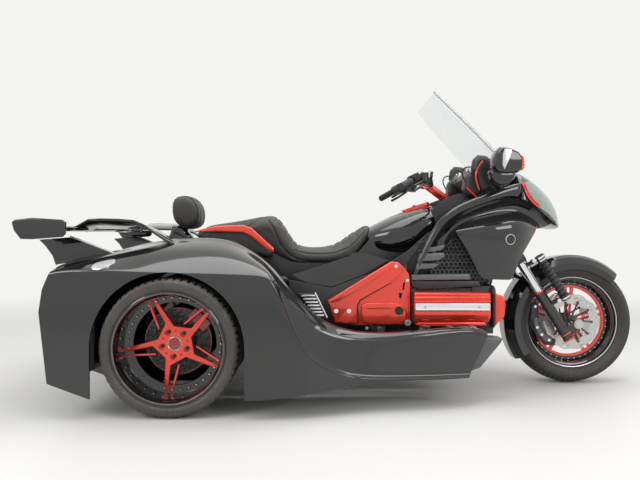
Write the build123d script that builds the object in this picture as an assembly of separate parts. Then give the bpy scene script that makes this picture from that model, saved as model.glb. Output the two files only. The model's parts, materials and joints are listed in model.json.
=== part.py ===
from build123d import *
import math
import os

# Touring trike: one steered front wheel, two wide rear wheels under moulded bodywork.
# +X is forward, +Y is to the rider's left, +Z is up, and the tyres stand on z = 0.

# Driving sizes, in millimetres and degrees
wheelbase = 1966.0
rear_axle_x = -818.0  # puts the middle of the whole length on x = 0
body_height = 1000.0  # what the heights in the body's tables are shares of
body_half_width = 730.0  # outer face of the rear bodywork
overrun = 40.0  # how far a cutting tool reaches past what it cuts
fit_gap = 0.3  # between pieces that seat on each other
panel_wall = 6.0
shell_wall = 12.0

# Wheels
rear_radius = 298.0
rear_tyre_width = 275.0
rear_bead_radius = 216.0
rear_flange_radius = 230.0
rear_rim_width = 262.0
rear_wheel_out = 572.0  # middle of the tyre, from the centre plane
front_radius = 322.0
front_tyre_width = 160.0
front_bead_radius = 228.0
front_flange_radius = 241.0
front_rim_width = 124.0
rim_wall = 6.0
spoke_count = 5

# Steering
rake = 32.7
fork_lead = 78.0  # wheel axle ahead of the fork legs
yoke_offset = 35.0  # fork legs ahead of the steering axis
fork_half_spread = 130.0
stanchion_radius = 23.0
slider_radius = 28.0
slider_low = -42.0  # distances along the legs, from the axle's level
slider_top = 251.0
lower_yoke_at = body_height * 0.425
upper_yoke_at = body_height * 0.64
yoke_thickness = 30.0
stem_radius = 18.0
head_tube_radius = 34.0
running_gap = 0.08  # a shaft in its bore
axial_gap = 0.5

front_axle_x = rear_axle_x + wheelbase
rear_axle_z = rear_radius
front_axle_z = front_radius
lean = math.radians(rake)
leg_up = Vector(-math.sin(lean), 0, math.cos(lean))
leg_ahead = Vector(math.cos(lean), 0, math.sin(lean))
front_axle = Vector(front_axle_x, 0, front_axle_z)


def at_x(share):
    return rear_axle_x + wheelbase * share


def at_z(share):
    return body_height * share


def out(share):
    return body_half_width * share


def side_face(shares, y):
    """An outline seen from the side, its corners as shares of the wheelbase and height."""
    corners = [Vector(at_x(x), y, at_z(z)) for x, z in shares]
    return make_face(Polyline(*corners, close=True))


def side_prism(shares, out_from, out_to):
    """The outline as a solid on the right side, between two distances from the centre plane."""
    return extrude(side_face(shares, -out_from), amount=out_to - out_from, dir=(0, -1, 0))


def across_prism(shares, half_width):
    """The outline as a solid right across the vehicle."""
    return extrude(side_face(shares, -half_width), amount=2 * half_width, dir=(0, 1, 0))


def to_left(shape):
    return mirror(shape, about=Plane.XZ)


def both_sides(*shapes):
    return [*shapes, *[to_left(shape) for shape in shapes]]


def rod(start, end, radius, bore=0.0):
    """A round bar, or a tube where a bore is given, from one point to another."""
    start = Vector(*start)
    end = Vector(*end)
    line = end - start
    plane = Plane(origin=start, z_dir=line.normalized())
    bar = extrude(plane * Circle(radius), amount=line.length)
    if bore:
        bar -= extrude(plane * Circle(bore), amount=line.length)
    return bar


def box_between(low, high):
    size = [b - a for a, b in zip(low, high)]
    middle = [(a + b) / 2 for a, b in zip(low, high)]
    return Pos(*middle) * Box(*size)


def section(x, corners, radius=0.0):
    """A closed outline across the vehicle at x, its corners as (y, z)."""
    face = make_face(Polyline(*[Vector(x, y, z) for y, z in corners], close=True))
    if radius:
        face = fillet(face.vertices(), radius)
    return face


def inset(corners, walls):
    """The corners moved inwards by one wall for each edge, edge i starting at corner i."""
    count = len(corners)
    area = sum(
        corners[i][0] * corners[(i + 1) % count][1] - corners[(i + 1) % count][0] * corners[i][1]
        for i in range(count)
    )
    turn = math.copysign(1, area)
    edges = []
    for i in range(count):
        (y0, z0), (y1, z1) = corners[i], corners[(i + 1) % count]
        length = math.hypot(y1 - y0, z1 - z0)
        along = ((y1 - y0) / length, (z1 - z0) / length)
        inward = (-along[1] * turn, along[0] * turn)
        edges.append(((y0 + inward[0] * walls[i], z0 + inward[1] * walls[i]), along))
    moved = []
    for i in range(count):
        (p, d), (q, e) = edges[i - 1], edges[i]
        cross = d[0] * e[1] - d[1] * e[0]
        t = ((q[0] - p[0]) * e[1] - (q[1] - p[1]) * e[0]) / cross
        moved.append((p[0] + d[0] * t, p[1] + d[1] * t))
    return moved


def leg_point(up, y, ahead=0.0):
    """A point in the fork's own frame: up the legs from the axle, and ahead of them."""
    return front_axle + leg_ahead * (ahead - fork_lead) + leg_up * up + Vector(0, y, 0)


# Wheels, turned about Y with the outer face towards +Y and then put in place

def tyre(radius, width, bead_radius, flange_radius, rim_width, crown_share, edge_share):
    bead_half = rim_width / 2 - rim_wall - fit_gap
    wall_foot = flange_radius + rim_wall / 2
    tread_half = width * edge_share / 2
    shoulder = radius - width * crown_share
    waist = (wall_foot + shoulder) / 2
    low, high = (bead_radius, -bead_half), (bead_radius, bead_half)
    outline = [
        Line(high, low),
        Line(low, (wall_foot, -bead_half)),
        ThreePointArc((wall_foot, -bead_half), (waist, -width / 2), (shoulder, -tread_half)),
        ThreePointArc((shoulder, -tread_half), (radius, 0), (shoulder, tread_half)),
        ThreePointArc((shoulder, tread_half), (waist, width / 2), (wall_foot, bead_half)),
        Line((wall_foot, bead_half), high),
    ]
    return revolve(make_face(outline), axis=Axis.Y)


def rim(bead_radius, flange_radius, rim_width, well_depth):
    half = rim_width / 2
    seat = bead_radius - fit_gap
    well = seat - well_depth
    seat_width = rim_wall * 4
    step = rim_wall * 2
    lip = seat_width - rim_wall
    outline = [
        (flange_radius, half),
        (flange_radius, half - rim_wall),
        (seat, half - rim_wall),
        (seat, half - seat_width),
        (well, half - seat_width - step),
        (well, seat_width + step - half),
        (seat, seat_width - half),
        (seat, rim_wall - half),
        (flange_radius, rim_wall - half),
        (flange_radius, -half),
        (seat - rim_wall, -half),
        (seat - rim_wall, lip - half),
        (well - rim_wall, lip + step - half),
        (well - rim_wall, half - lip - step),
        (seat - rim_wall, half - lip),
        (seat - rim_wall, half),
    ]
    return revolve(make_face(Polyline(*reversed(outline), close=True)), axis=Axis.Y)


# Rear wheels
rear_well_depth = 22.0
rear_spoke_face = -9.0  # face of the spokes, from the tyre's middle plane
rear_spoke_depth = 34.0
rear_hub_radius = 58.0
rear_hub_bore = 22.0
rear_spoke_start_angle = 116.0
rear_disc_radius = 150.0
rear_disc_bore = 70.0
rear_disc_width = 12.0
rear_disc_at = -82.0
rear_cap_radius = 24.0
rear_cap_height = 10.0
lug_circle_radius = 41.0
lug_hole_radius = 8.5
lug_hole_depth = 14.0
# across a spoke, as shares of the hub radius: low at the root, low at the tip, high at the tip,
# high at the root
thick_bar_shares = (-0.37, -0.20, 0.06, 0.24)
thin_bar_shares = (0.42, 0.17, 0.30, 0.69)


def spokes(hub_radius, tip_radius, depth, start_angle):
    """Split spokes: a thick bar with a thin one beside it, meeting at the barrel."""
    bars = []
    for turn in range(spoke_count):
        angle = start_angle + 360 / spoke_count * turn
        for root_low, tip_low, tip_high, root_high in (thick_bar_shares, thin_bar_shares):
            flat = make_face(Polyline(
                (0, hub_radius * root_low), (tip_radius, hub_radius * tip_low),
                (tip_radius, hub_radius * tip_high), (0, hub_radius * root_high), close=True))
            bars.append(Rot(0, 0, angle) * extrude(flat, amount=depth))
    return bars


def rear_spokes():
    """Modelled with the face at z = 0 looking along +Z, then turned to face +Y."""
    tip = rear_bead_radius - fit_gap - rear_well_depth - rim_wall - fit_gap
    hub = Cylinder(rear_hub_radius, rear_spoke_depth, align=(Align.CENTER, Align.CENTER, Align.MIN))
    wheel = hub
    for bar in spokes(rear_hub_radius, tip + overrun, rear_spoke_depth, rear_spoke_start_angle):
        wheel += bar
    wheel &= Cylinder(tip, rear_spoke_depth * 2, align=(Align.CENTER, Align.CENTER, Align.MIN))
    cap = Cylinder(rear_cap_radius, rear_cap_height, align=(Align.CENTER, Align.CENTER, Align.MIN))
    wheel += Pos(0, 0, rear_spoke_depth) * cap
    for turn in range(spoke_count):
        place = Rot(0, 0, rear_spoke_start_angle + 360 / spoke_count * turn) * Pos(lug_circle_radius, 0, 0)
        wheel -= place * Pos(0, 0, rear_spoke_depth) * Cylinder(lug_hole_radius, lug_hole_depth)
    wheel -= Cylinder(rear_hub_bore, rear_spoke_depth * 1.5)
    return Pos(0, rear_spoke_face - rear_spoke_depth, 0) * Rot(-90, 0, 0) * wheel


def brake_disc(radius, bore, width):
    return Rot(90, 0, 0) * (Cylinder(radius, width) - Cylinder(bore, width * 2))


def rear_disc():
    carrier = Cylinder(rear_disc_bore - fit_gap, rear_disc_width) - Cylinder(rear_hub_bore, overrun)
    disc = Cylinder(rear_disc_radius, rear_disc_width) - Cylinder(rear_disc_bore - fit_gap, overrun)
    return Pos(0, rear_disc_at, 0) * Rot(90, 0, 0) * (disc + carrier)


rear_wheel_pieces = {
    "rear_tyre": tyre(rear_radius, rear_tyre_width, rear_bead_radius, rear_flange_radius,
                      rear_rim_width, 0.03, 0.9),
    "rear_rim": rim(rear_bead_radius, rear_flange_radius, rear_rim_width, rear_well_depth),
    "rear_spokes": rear_spokes(),
    "rear_disc": rear_disc(),
}
left_wheel_place = Pos(rear_axle_x, rear_wheel_out, rear_axle_z)
parts = {}
for name, shape in rear_wheel_pieces.items():
    placed = left_wheel_place * shape
    parts[name + "_left"] = placed
    parts[name + "_right"] = to_left(placed)

# Front wheel
front_well_depth = 20.0
front_spoke_depth = 26.0
front_hub_radius = 34.0
front_hub_length = 118.0
front_axle_radius = 11.0
front_disc_radius = 148.0
front_disc_bore = 96.0
front_disc_width = 5.0
front_disc_out = 54.0
front_wheel_place = Pos(front_axle_x, 0, front_axle_z)


def front_rim():
    barrel = rim(front_bead_radius, front_flange_radius, front_rim_width, front_well_depth)
    inner = front_bead_radius - fit_gap - front_well_depth - rim_wall
    star = Cylinder(front_hub_radius, front_spoke_depth)
    for bar in spokes(rear_hub_radius * 0.8, inner + rim_wall / 2, front_spoke_depth, 90):
        star += Pos(0, 0, -front_spoke_depth / 2) * bar
    star &= Cylinder(inner + rim_wall / 2, front_spoke_depth)
    star += Cylinder(front_hub_radius, front_hub_length)
    star -= Cylinder(front_axle_radius + running_gap, front_hub_length + overrun)
    return barrel + Rot(90, 0, 0) * star


def front_discs():
    ring = brake_disc(front_disc_radius, front_disc_bore, front_disc_width)
    carrier = Rot(90, 0, 0) * (
        Cylinder(front_disc_bore, front_disc_width)
        - Cylinder(front_hub_radius + fit_gap, front_disc_width * 2)
    )
    return [Pos(0, side * front_disc_out, 0) * (ring + carrier) for side in (-1, 1)]


parts["front_tyre"] = front_wheel_place * tyre(
    front_radius, front_tyre_width, front_bead_radius, front_flange_radius, front_rim_width,
    0.24, 0.86)
parts["front_rim"] = front_wheel_place * front_rim()
parts["front_discs"] = [front_wheel_place * disc for disc in front_discs()]

# Fork, yokes and what steers with them
slider_lug_radius = 24.0
slider_lug_width = 34.0
axle_half_length = fork_half_spread + slider_lug_width / 2
yoke_end_radius = 36.0
spring_ahead = 88.0
spring_out = 168.0
spring_low = 150.0
spring_high = 410.0
spring_radius = 24.0
spring_core_radius = 17.0
spring_turns = 9
fender_outer_radius = 352.0
fender_wall = 4.0
fender_half_width = 92.0
fender_skirt_radius = 278.0
stay_low = 196.0
stay_high = 322.0
stay_width = 26.0
fender_from, fender_to = 47.0, 214.0  # degrees up from straight ahead
end_clear = 5.0  # degrees that the hollow runs past each end


def slider():
    """The lower fork leg with the lug that carries the axle ahead of it."""
    y = -fork_half_spread
    leg = rod(leg_point(slider_low, y), leg_point(slider_top, y), slider_radius)
    foot = leg_point(0, y)
    lug = rod(front_axle + Vector(0, y - slider_lug_width / 2, 0),
              front_axle + Vector(0, y + slider_lug_width / 2, 0), slider_lug_radius)
    half = leg_up * slider_lug_radius
    corners = [foot - half, foot + half, front_axle + half, front_axle - half]
    side = y - slider_lug_width / 2
    flat = make_face(Polyline(*[Vector(p.X, side, p.Z) for p in corners], close=True))
    arm = extrude(flat, amount=slider_lug_width, dir=(0, 1, 0))
    leg = leg + arm + lug
    stanchion_hole = rod(leg_point(slider_top - overrun, y), leg_point(slider_top + overrun, y),
                         stanchion_radius + fit_gap)
    axle_hole = rod(front_axle + Vector(0, y - overrun, 0), front_axle + Vector(0, y + overrun, 0),
                    front_axle_radius + fit_gap)
    return leg - stanchion_hole - axle_hole


def stanchion():
    y = -fork_half_spread
    return rod(leg_point(slider_top - overrun + fit_gap, y),
               leg_point(upper_yoke_at + yoke_thickness * 1.3, y), stanchion_radius)


def yoke(at):
    """A clamp across both legs and the steering stem behind them."""
    middle = leg_point(at, 0, -yoke_offset)
    plane = Plane(origin=middle, x_dir=leg_ahead, z_dir=leg_up)
    ends = [(yoke_offset, side * fork_half_spread) for side in (-1, 1)]
    web = [
        (-yoke_end_radius, 0),
        (yoke_offset - yoke_end_radius, -fork_half_spread),
        (yoke_offset + yoke_end_radius * 0.7, -fork_half_spread),
        (yoke_offset + yoke_end_radius * 0.4, 0),
        (yoke_offset + yoke_end_radius * 0.7, fork_half_spread),
        (yoke_offset - yoke_end_radius, fork_half_spread),
    ]
    shape = make_face(Polyline(*web, close=True)) + Circle(yoke_end_radius)
    for end in ends:
        shape += Pos(*end) * Circle(yoke_end_radius)
    for end in ends:
        shape -= Pos(*end) * Circle(stanchion_radius + fit_gap)
    return extrude(plane * shape, amount=yoke_thickness)


def yokes():
    stem = rod(leg_point(lower_yoke_at, 0, -yoke_offset),
               leg_point(upper_yoke_at + yoke_thickness, 0, -yoke_offset), stem_radius)
    return yoke(lower_yoke_at) + yoke(upper_yoke_at) + stem


def assist_spring():
    """A coil-over unit ahead of the leg, as one turned piece with its turns as rings."""
    start = leg_point(spring_low, -spring_out, spring_ahead)
    end = leg_point(spring_high, -spring_out, spring_ahead)
    plane = Plane(origin=start, x_dir=leg_ahead, z_dir=leg_up)
    length = (end - start).length
    collar = length / 10
    pitch = (length - 2 * collar) / spring_turns
    outline = [(0, 0), (spring_radius, 0), (spring_radius, collar)]
    for turn in range(spring_turns):
        base = collar + pitch * turn
        outline += [
            (spring_core_radius, base + pitch * 0.2),
            (spring_radius, base + pitch * 0.45),
            (spring_radius, base + pitch * 0.75),
        ]
    outline += [(spring_radius, length - collar), (spring_radius, length), (0, length)]
    turned = revolve(make_face(Polyline(*[(r, 0, h) for r, h in outline], close=True)), axis=Axis.Z)
    unit = plane.location * turned
    ends = ((spring_low + collar / 2, slider_radius), (spring_high - collar / 2, stanchion_radius))
    for up, leg_radius in ends:
        arm = rod(leg_point(up, -spring_out, spring_ahead), leg_point(up, -fork_half_spread), collar * 0.4)
        leg = rod(leg_point(up - overrun, -fork_half_spread),
                  leg_point(up + overrun, -fork_half_spread), leg_radius + fit_gap)
        unit += arm - leg
    return unit.solids().sort_by(SortBy.VOLUME)[-1]


def front_fender():
    """A shell round the tyre from ahead of it to low behind it, with deep side walls."""
    shell = None
    for radius, half, sign in (
        (fender_outer_radius, fender_half_width, 1),
        (fender_outer_radius - fender_wall, fender_half_width - fender_wall, -1),
    ):
        inner = fender_skirt_radius - (overrun if sign < 0 else 0)
        corner = half * 0.45
        outline = [
            (inner, -half),
            (radius - corner, -half),
            (radius - corner * 0.3, -half + corner * 0.55),
            (radius, -half + corner * 1.2),
            (radius, half - corner * 1.2),
            (radius - corner * 0.3, half - corner * 0.55),
            (radius - corner, half),
            (inner, half),
        ]
        face = make_face(Polyline(*outline, close=True))
        grow = 0 if sign > 0 else end_clear
        turned = revolve(Rot(0, grow, 0) * face, axis=Axis.Y,
                         revolution_arc=-(fender_to - fender_from + 2 * grow))
        turned = Rot(0, -fender_from, 0) * turned
        shell = turned if shell is None else shell - turned
    shell = front_wheel_place * shell
    stay = extrude(
        Plane(origin=leg_point((stay_low + stay_high) / 2, 0), x_dir=leg_ahead, z_dir=(0, -1, 0))
        * Rectangle(stay_width, stay_high - stay_low), amount=fork_half_spread - slider_radius - fit_gap)
    stay -= box_between((0, -fender_half_width, 0), (front_axle_x * 2, 0, front_radius * 3))
    return shell + stay + to_left(stay)


handlebar_radius = 14.0
handlebar_bend = 40.0
grip_radius = 18.0
grip_length = 120.0
# along, out, up: shares of the wheelbase, half width and height, from the middle to the end
bar_shares = [
    (0.6216, 0.0, 1.036),
    (0.6216, 0.096, 1.040),
    (0.6073, 0.233, 1.082),
    (0.5687, 0.359, 1.056),
    (0.5168, 0.603, 1.000),
]
bar_points = [(at_x(along), -out(aside), at_z(up)) for along, aside, up in bar_shares]
riser_foot_out = 45.0
riser_radius = 15.0


def handlebar():
    right = [Vector(*p) for p in bar_points[1:]]
    left = [Vector(p.X, -p.Y, p.Z) for p in right]
    path = FilletPolyline(*reversed(right), *left, radius=handlebar_bend)
    start = right[-1]
    plane = Plane(origin=start, z_dir=(right[-2] - right[-1]).normalized())
    return sweep(plane * Circle(handlebar_radius), path=path)


def risers():
    """Two arms from the upper yoke back and up to the bar."""
    shapes = []
    for side in (-1, 1):
        foot = leg_point(upper_yoke_at + yoke_thickness, side * riser_foot_out, -yoke_offset)
        top = Vector(bar_points[0][0], side * riser_foot_out, bar_points[0][2])
        shapes.append(rod(foot, top, riser_radius))
    return shapes


def grip():
    end = Vector(*bar_points[-1])
    inner = Vector(*bar_points[-2])
    way = (inner - end).normalized()
    return rod(end, end + way * grip_length, grip_radius, handlebar_radius + fit_gap)


def bar_control():
    """Switch box, master cylinder and lever inboard of the grip."""
    end = Vector(*bar_points[-1])
    inner = Vector(*bar_points[-2])
    way = (inner - end).normalized()
    hub = end + way * (grip_length + grip_radius)
    bore = handlebar_radius + fit_gap
    box = rod(hub, hub + way * grip_radius * 3, grip_radius * 1.5, bore)
    ahead = Vector(1, 0, 0)
    knuckle = hub + way * grip_radius * 1.5 + ahead * grip_radius * 3
    arm = rod(hub + way * grip_radius * 1.5 + ahead * grip_radius * 1.2, knuckle, grip_radius * 0.5)
    lever = rod(knuckle, knuckle - way * (grip_length * 1.2), grip_radius * 0.35)
    pot = rod(knuckle - Vector(0, 0, grip_radius * 0.4), knuckle + Vector(0, 0, grip_radius * 2),
              grip_radius * 1.1)
    return box + arm + lever + pot


caliper_along, caliper_across, caliper_tall = 46.0, 72.0, 110.0
caliper_lift = 20.0
pad_gap = 3.0  # between a disc and what straddles it


def front_caliper():
    """A block that straddles the disc behind the leg."""
    centre = front_axle + leg_up * caliper_lift - leg_ahead * (front_disc_radius * 0.86)
    outer = fork_half_spread - slider_radius - fit_gap
    body = Pos(centre.X, caliper_across / 2 - outer, centre.Z) * (
        Rot(0, rake, 0) * Box(caliper_along, caliper_across, caliper_tall))
    slot = Pos(front_axle_x, -front_disc_out, front_axle_z) * (
        Rot(90, 0, 0) * Cylinder(front_disc_radius + pad_gap, front_disc_width + pad_gap * 2)
    )
    inner = box_between(
        (front_axle_x - front_radius, -front_disc_out + front_disc_width + pad_gap * 4, 0),
        (front_axle_x + front_radius, 0, front_radius * 2),
    )
    return body - slot - inner


parts["fork_sliders"] = both_sides(slider())
parts["fork_tubes"] = both_sides(stanchion())
parts["yokes"] = yokes()
parts["front_axle"] = rod(front_axle - Vector(0, axle_half_length, 0),
                          front_axle + Vector(0, axle_half_length, 0), front_axle_radius)
parts["assist_springs"] = both_sides(assist_spring())
parts["front_fender"] = front_fender()
parts["handlebar"] = handlebar()
parts["risers"] = [riser - parts["yokes"] - parts["handlebar"] for riser in risers()]
parts["grips"] = both_sides(grip())
parts["bar_controls"] = both_sides(bar_control())
parts["front_calipers"] = both_sides(front_caliper())


# Rear bodywork: a fender over each rear wheel that runs forward into a low pod.
# A row is one section across the vehicle: how far ahead of the rear axle, as a share of the
# wheelbase, then outward places as shares of the half width and heights as shares of the height.
arch_gap = 26.0
fender_inner_out = 340.0
pod_inner_out = 345.0
pod_trough_drop = 60.0
fender_foot_share = 0.085
axle_tube_radius = 36.0
# along, inner up, crest out, crest up, crease out, crease up
fender_row_shares = [
    (-0.28, 0.640, 0.60, 0.640, 0.975, 0.600),
    (-0.16, 0.690, 0.61, 0.695, 0.993, 0.640),
    (-0.06, 0.745, 0.60, 0.750, 1.000, 0.632),
    (0.05, 0.768, 0.59, 0.770, 1.000, 0.632),
    (0.13, 0.750, 0.60, 0.758, 0.998, 0.618),
    (0.2127, 0.640, 0.68, 0.640, 0.992, 0.604),
]
fender_side_shares = [
    (-0.157, 0.085), (-0.256, 0.156), (-0.273, 0.465), (-0.268, 0.527), (-0.247, 0.623),
    (-0.235, 0.70), (-0.2, 0.9), (0.2127, 0.9), (0.2127, 0.085),
]
# along, crest out, crest up, valley out, valley up, crease out, crease up, foot out, foot up
pod_row_shares = [
    (0.2128, 0.680, 0.640, 0.84, 0.618, 0.992, 0.604, 0.990, 0.092),
    (0.245, 0.745, 0.540, 0.86, 0.495, 0.990, 0.490, 0.988, 0.096),
    (0.283, 0.775, 0.450, 0.87, 0.360, 0.984, 0.300, 0.980, 0.101),
    (0.345, 0.780, 0.380, 0.86, 0.285, 0.930, 0.225, 0.915, 0.112),
    (0.414, 0.772, 0.343, 0.83, 0.240, 0.872, 0.165, 0.860, 0.130),
    (0.501, 0.757, 0.343, 0.79, 0.240, 0.815, 0.155, 0.805, 0.140),
    (0.599, 0.726, 0.361, 0.75, 0.250, 0.765, 0.150, 0.757, 0.132),
    (0.760, 0.640, 0.372, 0.68, 0.255, 0.700, 0.152, 0.690, 0.138),
]
pod_side_shares = [
    (0.2128, 0.09), (0.666, 0.09), (0.666, 0.139), (0.693, 0.242), (0.713, 0.318),
    (0.745, 0.5), (0.2128, 0.9),
]


def shell_between(rows, walls, side_shares, side_walls):
    """The skin of a lofted body that is trimmed to a side outline, and the solid it came from."""
    solid = loft([section(x, corners) for x, corners in rows], ruled=True)
    solid &= side_prism(side_shares, 0, body_half_width + overrun)
    cavity = loft([section(x, inset(corners, walls)) for x, corners in rows], ruled=True)
    side_corners = inset([(at_x(x), at_z(z)) for x, z in side_shares], side_walls)
    flat = make_face(Polyline(*[Vector(x, 0, z) for x, z in side_corners], close=True))
    cavity &= extrude(flat, amount=body_half_width + overrun, dir=(0, -1, 0))
    return solid - cavity, solid


def fender():
    rows = []
    for along, inner_up, crest_out, crest_up, crease_out, crease_up in fender_row_shares:
        rows.append((at_x(along), [
            (-fender_inner_out, at_z(fender_foot_share)),
            (-fender_inner_out, at_z(inner_up)),
            (-out(crest_out), at_z(crest_up)),
            (-out(crease_out), at_z(crease_up)),
            (-out(crease_out), at_z(fender_foot_share)),
        ]))
    walls = [shell_wall, shell_wall, shell_wall, shell_wall, -overrun]
    side_walls = [shell_wall, shell_wall, shell_wall, shell_wall, shell_wall,
                  -overrun, -overrun, -overrun, -overrun]
    shell, solid = shell_between(rows, walls, fender_side_shares, side_walls)
    radius = rear_radius + arch_gap
    depth = body_half_width - rear_wheel_out
    axle = Vector(rear_axle_x, 0, rear_axle_z)
    arch = rod(axle - Vector(0, rear_wheel_out, 0), axle - Vector(0, rear_wheel_out + 2 * depth, 0), radius)
    legs = box_between((rear_axle_x - radius, -body_half_width - overrun, 0),
                       (rear_axle_x + radius, -rear_wheel_out, rear_axle_z))
    shaft = rod(axle, axle - Vector(0, rear_wheel_out, 0), axle_tube_radius + shell_wall)
    return shell - arch - legs - shaft, solid


def pod():
    rows = []
    for row in pod_row_shares:
        along, crest_out, crest_up, valley_out, valley_up, crease_out, crease_up, foot_out, foot_up = row
        rows.append((at_x(along), [
            (-pod_inner_out, at_z(foot_up)),
            (-pod_inner_out, at_z(crest_up) - pod_trough_drop),
            (-out(crest_out), at_z(crest_up)),
            (-out(valley_out), at_z(valley_up)),
            (-out(crease_out), at_z(crease_up)),
            (-out(foot_out), at_z(foot_up)),
        ]))
    walls = [shell_wall, shell_wall, shell_wall, shell_wall, shell_wall, -overrun]
    side_walls = [-overrun, -overrun, shell_wall, shell_wall, shell_wall, -overrun, -overrun]
    return shell_between(rows, walls, pod_side_shares, side_walls)


fender_shell, fender_solid = fender()
pod_shell, pod_solid = pod()
for name, shape in (("fender", fender_shell), ("pod", pod_shell)):
    parts[name + "_right"] = shape
    parts[name + "_left"] = to_left(shape)

# Rear deck between the fenders: a luggage box with a door at the back, and a cover under the seat
deck_half_width = fender_inner_out - fit_gap
deck_wall = 8.0
door_thickness = 16.0
door_gap = 3.0
door_half_width = 225.0
door_low_share, door_high_share = 0.345, 0.600
hinge_radius = 7.0
hinge_pin_radius = 3.0
hinge_length = 60.0
hinge_leaf = 30.0
hinge_up_shares = (0.2, 0.8)
plate_hole_radius = 3.5
plate_hole_spacing = 140.0
plate_hole_up_share = 0.55
box_shares = [(-0.262, 0.30), (-0.06, 0.30), (-0.06, 0.738), (-0.235, 0.682), (-0.262, 0.645)]
front_deck_shares = [(-0.0598, 0.60), (-0.0598, 0.738), (0.05, 0.765), (0.12, 0.752), (0.19, 0.66), (0.19, 0.60)]


def hinge_places():
    """The middle of each door hinge, on one upright axis just behind the door's edge."""
    along = at_x(box_shares[0][0]) - hinge_radius - axial_gap
    aside = door_half_width + door_gap / 2
    tall = door_high_share - door_low_share
    return [Vector(along, aside, at_z(door_low_share + tall * share)) for share in hinge_up_shares]


def hinge_part(low, high, leaf_from, leaf_to, bore):
    """A knuckle between two places with a leaf that runs to the face it is screwed to."""
    knuckle = rod(low, high, hinge_radius)
    leaf = box_between((low.X, leaf_from, low.Z), (low.X + hinge_radius + axial_gap + fit_gap, leaf_to, high.Z))
    return knuckle + leaf - rod(low, high, bore)


def rear_deck():
    box = across_prism(box_shares, deck_half_width)
    corners = inset([(at_x(x), at_z(z)) for x, z in box_shares], [deck_wall] * len(box_shares))
    flat = make_face(Polyline(*[Vector(x, deck_wall - deck_half_width, z) for x, z in corners], close=True))
    box -= extrude(flat, amount=2 * (deck_half_width - deck_wall), dir=(0, 1, 0))
    rear = at_x(box_shares[0][0])
    half = door_half_width + door_gap
    box -= box_between((rear - overrun, -half, at_z(door_low_share) - door_gap),
                       (rear + overrun, half, at_z(door_high_share) + door_gap))
    for place in hinge_places():
        half_length = Vector(0, 0, hinge_length / 2)
        for side in (-1, 1):
            inner = place + half_length * (side / 3) + Vector(0, 0, side * axial_gap)
            outer = place + half_length * side
            low, high = (inner, outer) if side > 0 else (outer, inner)
            box += hinge_part(low, high, place.Y, half + hinge_leaf, hinge_pin_radius)
        box += rod(place - half_length, place + half_length, hinge_pin_radius)
    cover = across_prism(front_deck_shares, deck_half_width)
    return [box, cover]


def rear_door():
    rear = at_x(box_shares[0][0])
    panel = box_between((rear, -door_half_width, at_z(door_low_share)),
                        (rear + door_thickness, door_half_width, at_z(door_high_share)))
    for place in hinge_places():
        sixth = Vector(0, 0, hinge_length / 6)
        panel += hinge_part(place - sixth, place + sixth, door_half_width - hinge_leaf, place.Y,
                            hinge_pin_radius + running_gap)
    tall = door_high_share - door_low_share
    for side in (-1, 1):
        hole = Vector(rear - overrun, side * plate_hole_spacing / 2,
                      at_z(door_low_share + tall * plate_hole_up_share))
        panel -= rod(hole, hole + Vector(2 * overrun, 0, 0), plate_hole_radius)
    return panel


# Wing across the tail, on a fin and a forward brace at each side
wing_half_span = 690.0
wing_plate = 10.0
strut_out = 520.0
strut_width = 60.0
brace_wall = 14.0
endplate_shares = [(-0.334, 0.832), (-0.334, 0.850), (-0.328, 0.857), (-0.220, 0.853), (-0.215, 0.845),
                   (-0.215, 0.765), (-0.222, 0.756), (-0.318, 0.752), (-0.324, 0.758)]
blade_shares = [(-0.326, 0.846), (-0.30, 0.838), (-0.24, 0.822), (-0.222, 0.806), (-0.225, 0.798),
                (-0.25, 0.800), (-0.30, 0.822), (-0.327, 0.838)]
fin_shares = [(-0.310, 0.800), (-0.306, 0.745), (-0.302, 0.733), (-0.284, 0.688), (-0.272, 0.60),
              (-0.143, 0.60), (-0.143, 0.697), (-0.236, 0.768), (-0.236, 0.800)]
brace_line_shares = [(-0.243, 0.786), (-0.225, 0.797), (-0.188, 0.853), (-0.100, 0.848), (-0.076, 0.824),
                     (-0.058, 0.795), (-0.020, 0.772), (0.02, 0.740)]


def wing():
    blade = across_prism(blade_shares, wing_half_span - fit_gap)
    plate = side_prism(endplate_shares, wing_half_span, wing_half_span + wing_plate)
    return [blade, plate, to_left(plate)]


def ribbon_shares(line, thickness):
    """A line of places turned into a band of even height below it."""
    return [*line, *[(x, z - thickness / body_height) for x, z in reversed(line)]]


def wing_struts():
    blade = across_prism(blade_shares, wing_half_span)
    fin = side_prism(fin_shares, strut_out, strut_out + brace_wall) - fender_solid - blade
    band = side_prism(ribbon_shares(brace_line_shares, brace_wall), strut_out - strut_width, strut_out)
    band = band - fender_solid - blade
    strut = fin + band
    strut = strut.solids().sort_by(SortBy.VOLUME)[-1]
    return both_sides(strut)


parts["rear_deck"] = rear_deck()
parts["rear_door"] = rear_door()
parts["wing"] = wing()
parts["wing_struts"] = wing_struts()

# Fairing: a side panel each side and the nose between them
fairing_wall = 10.0
# along, upper out, upper up, waist out, waist up, lower out, lower up
fairing_side_row_shares = [
    (0.600, 0.44, 0.790, 0.445, 0.768, 0.46, 0.748),
    (0.620, 0.435, 0.826, 0.44, 0.790, 0.47, 0.760),
    (0.693, 0.45, 0.912, 0.45, 0.850, 0.52, 0.795),
    (0.754, 0.45, 0.985, 0.43, 0.890, 0.54, 0.826),
    (0.815, 0.435, 1.045, 0.41, 0.920, 0.54, 0.845),
]
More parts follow.
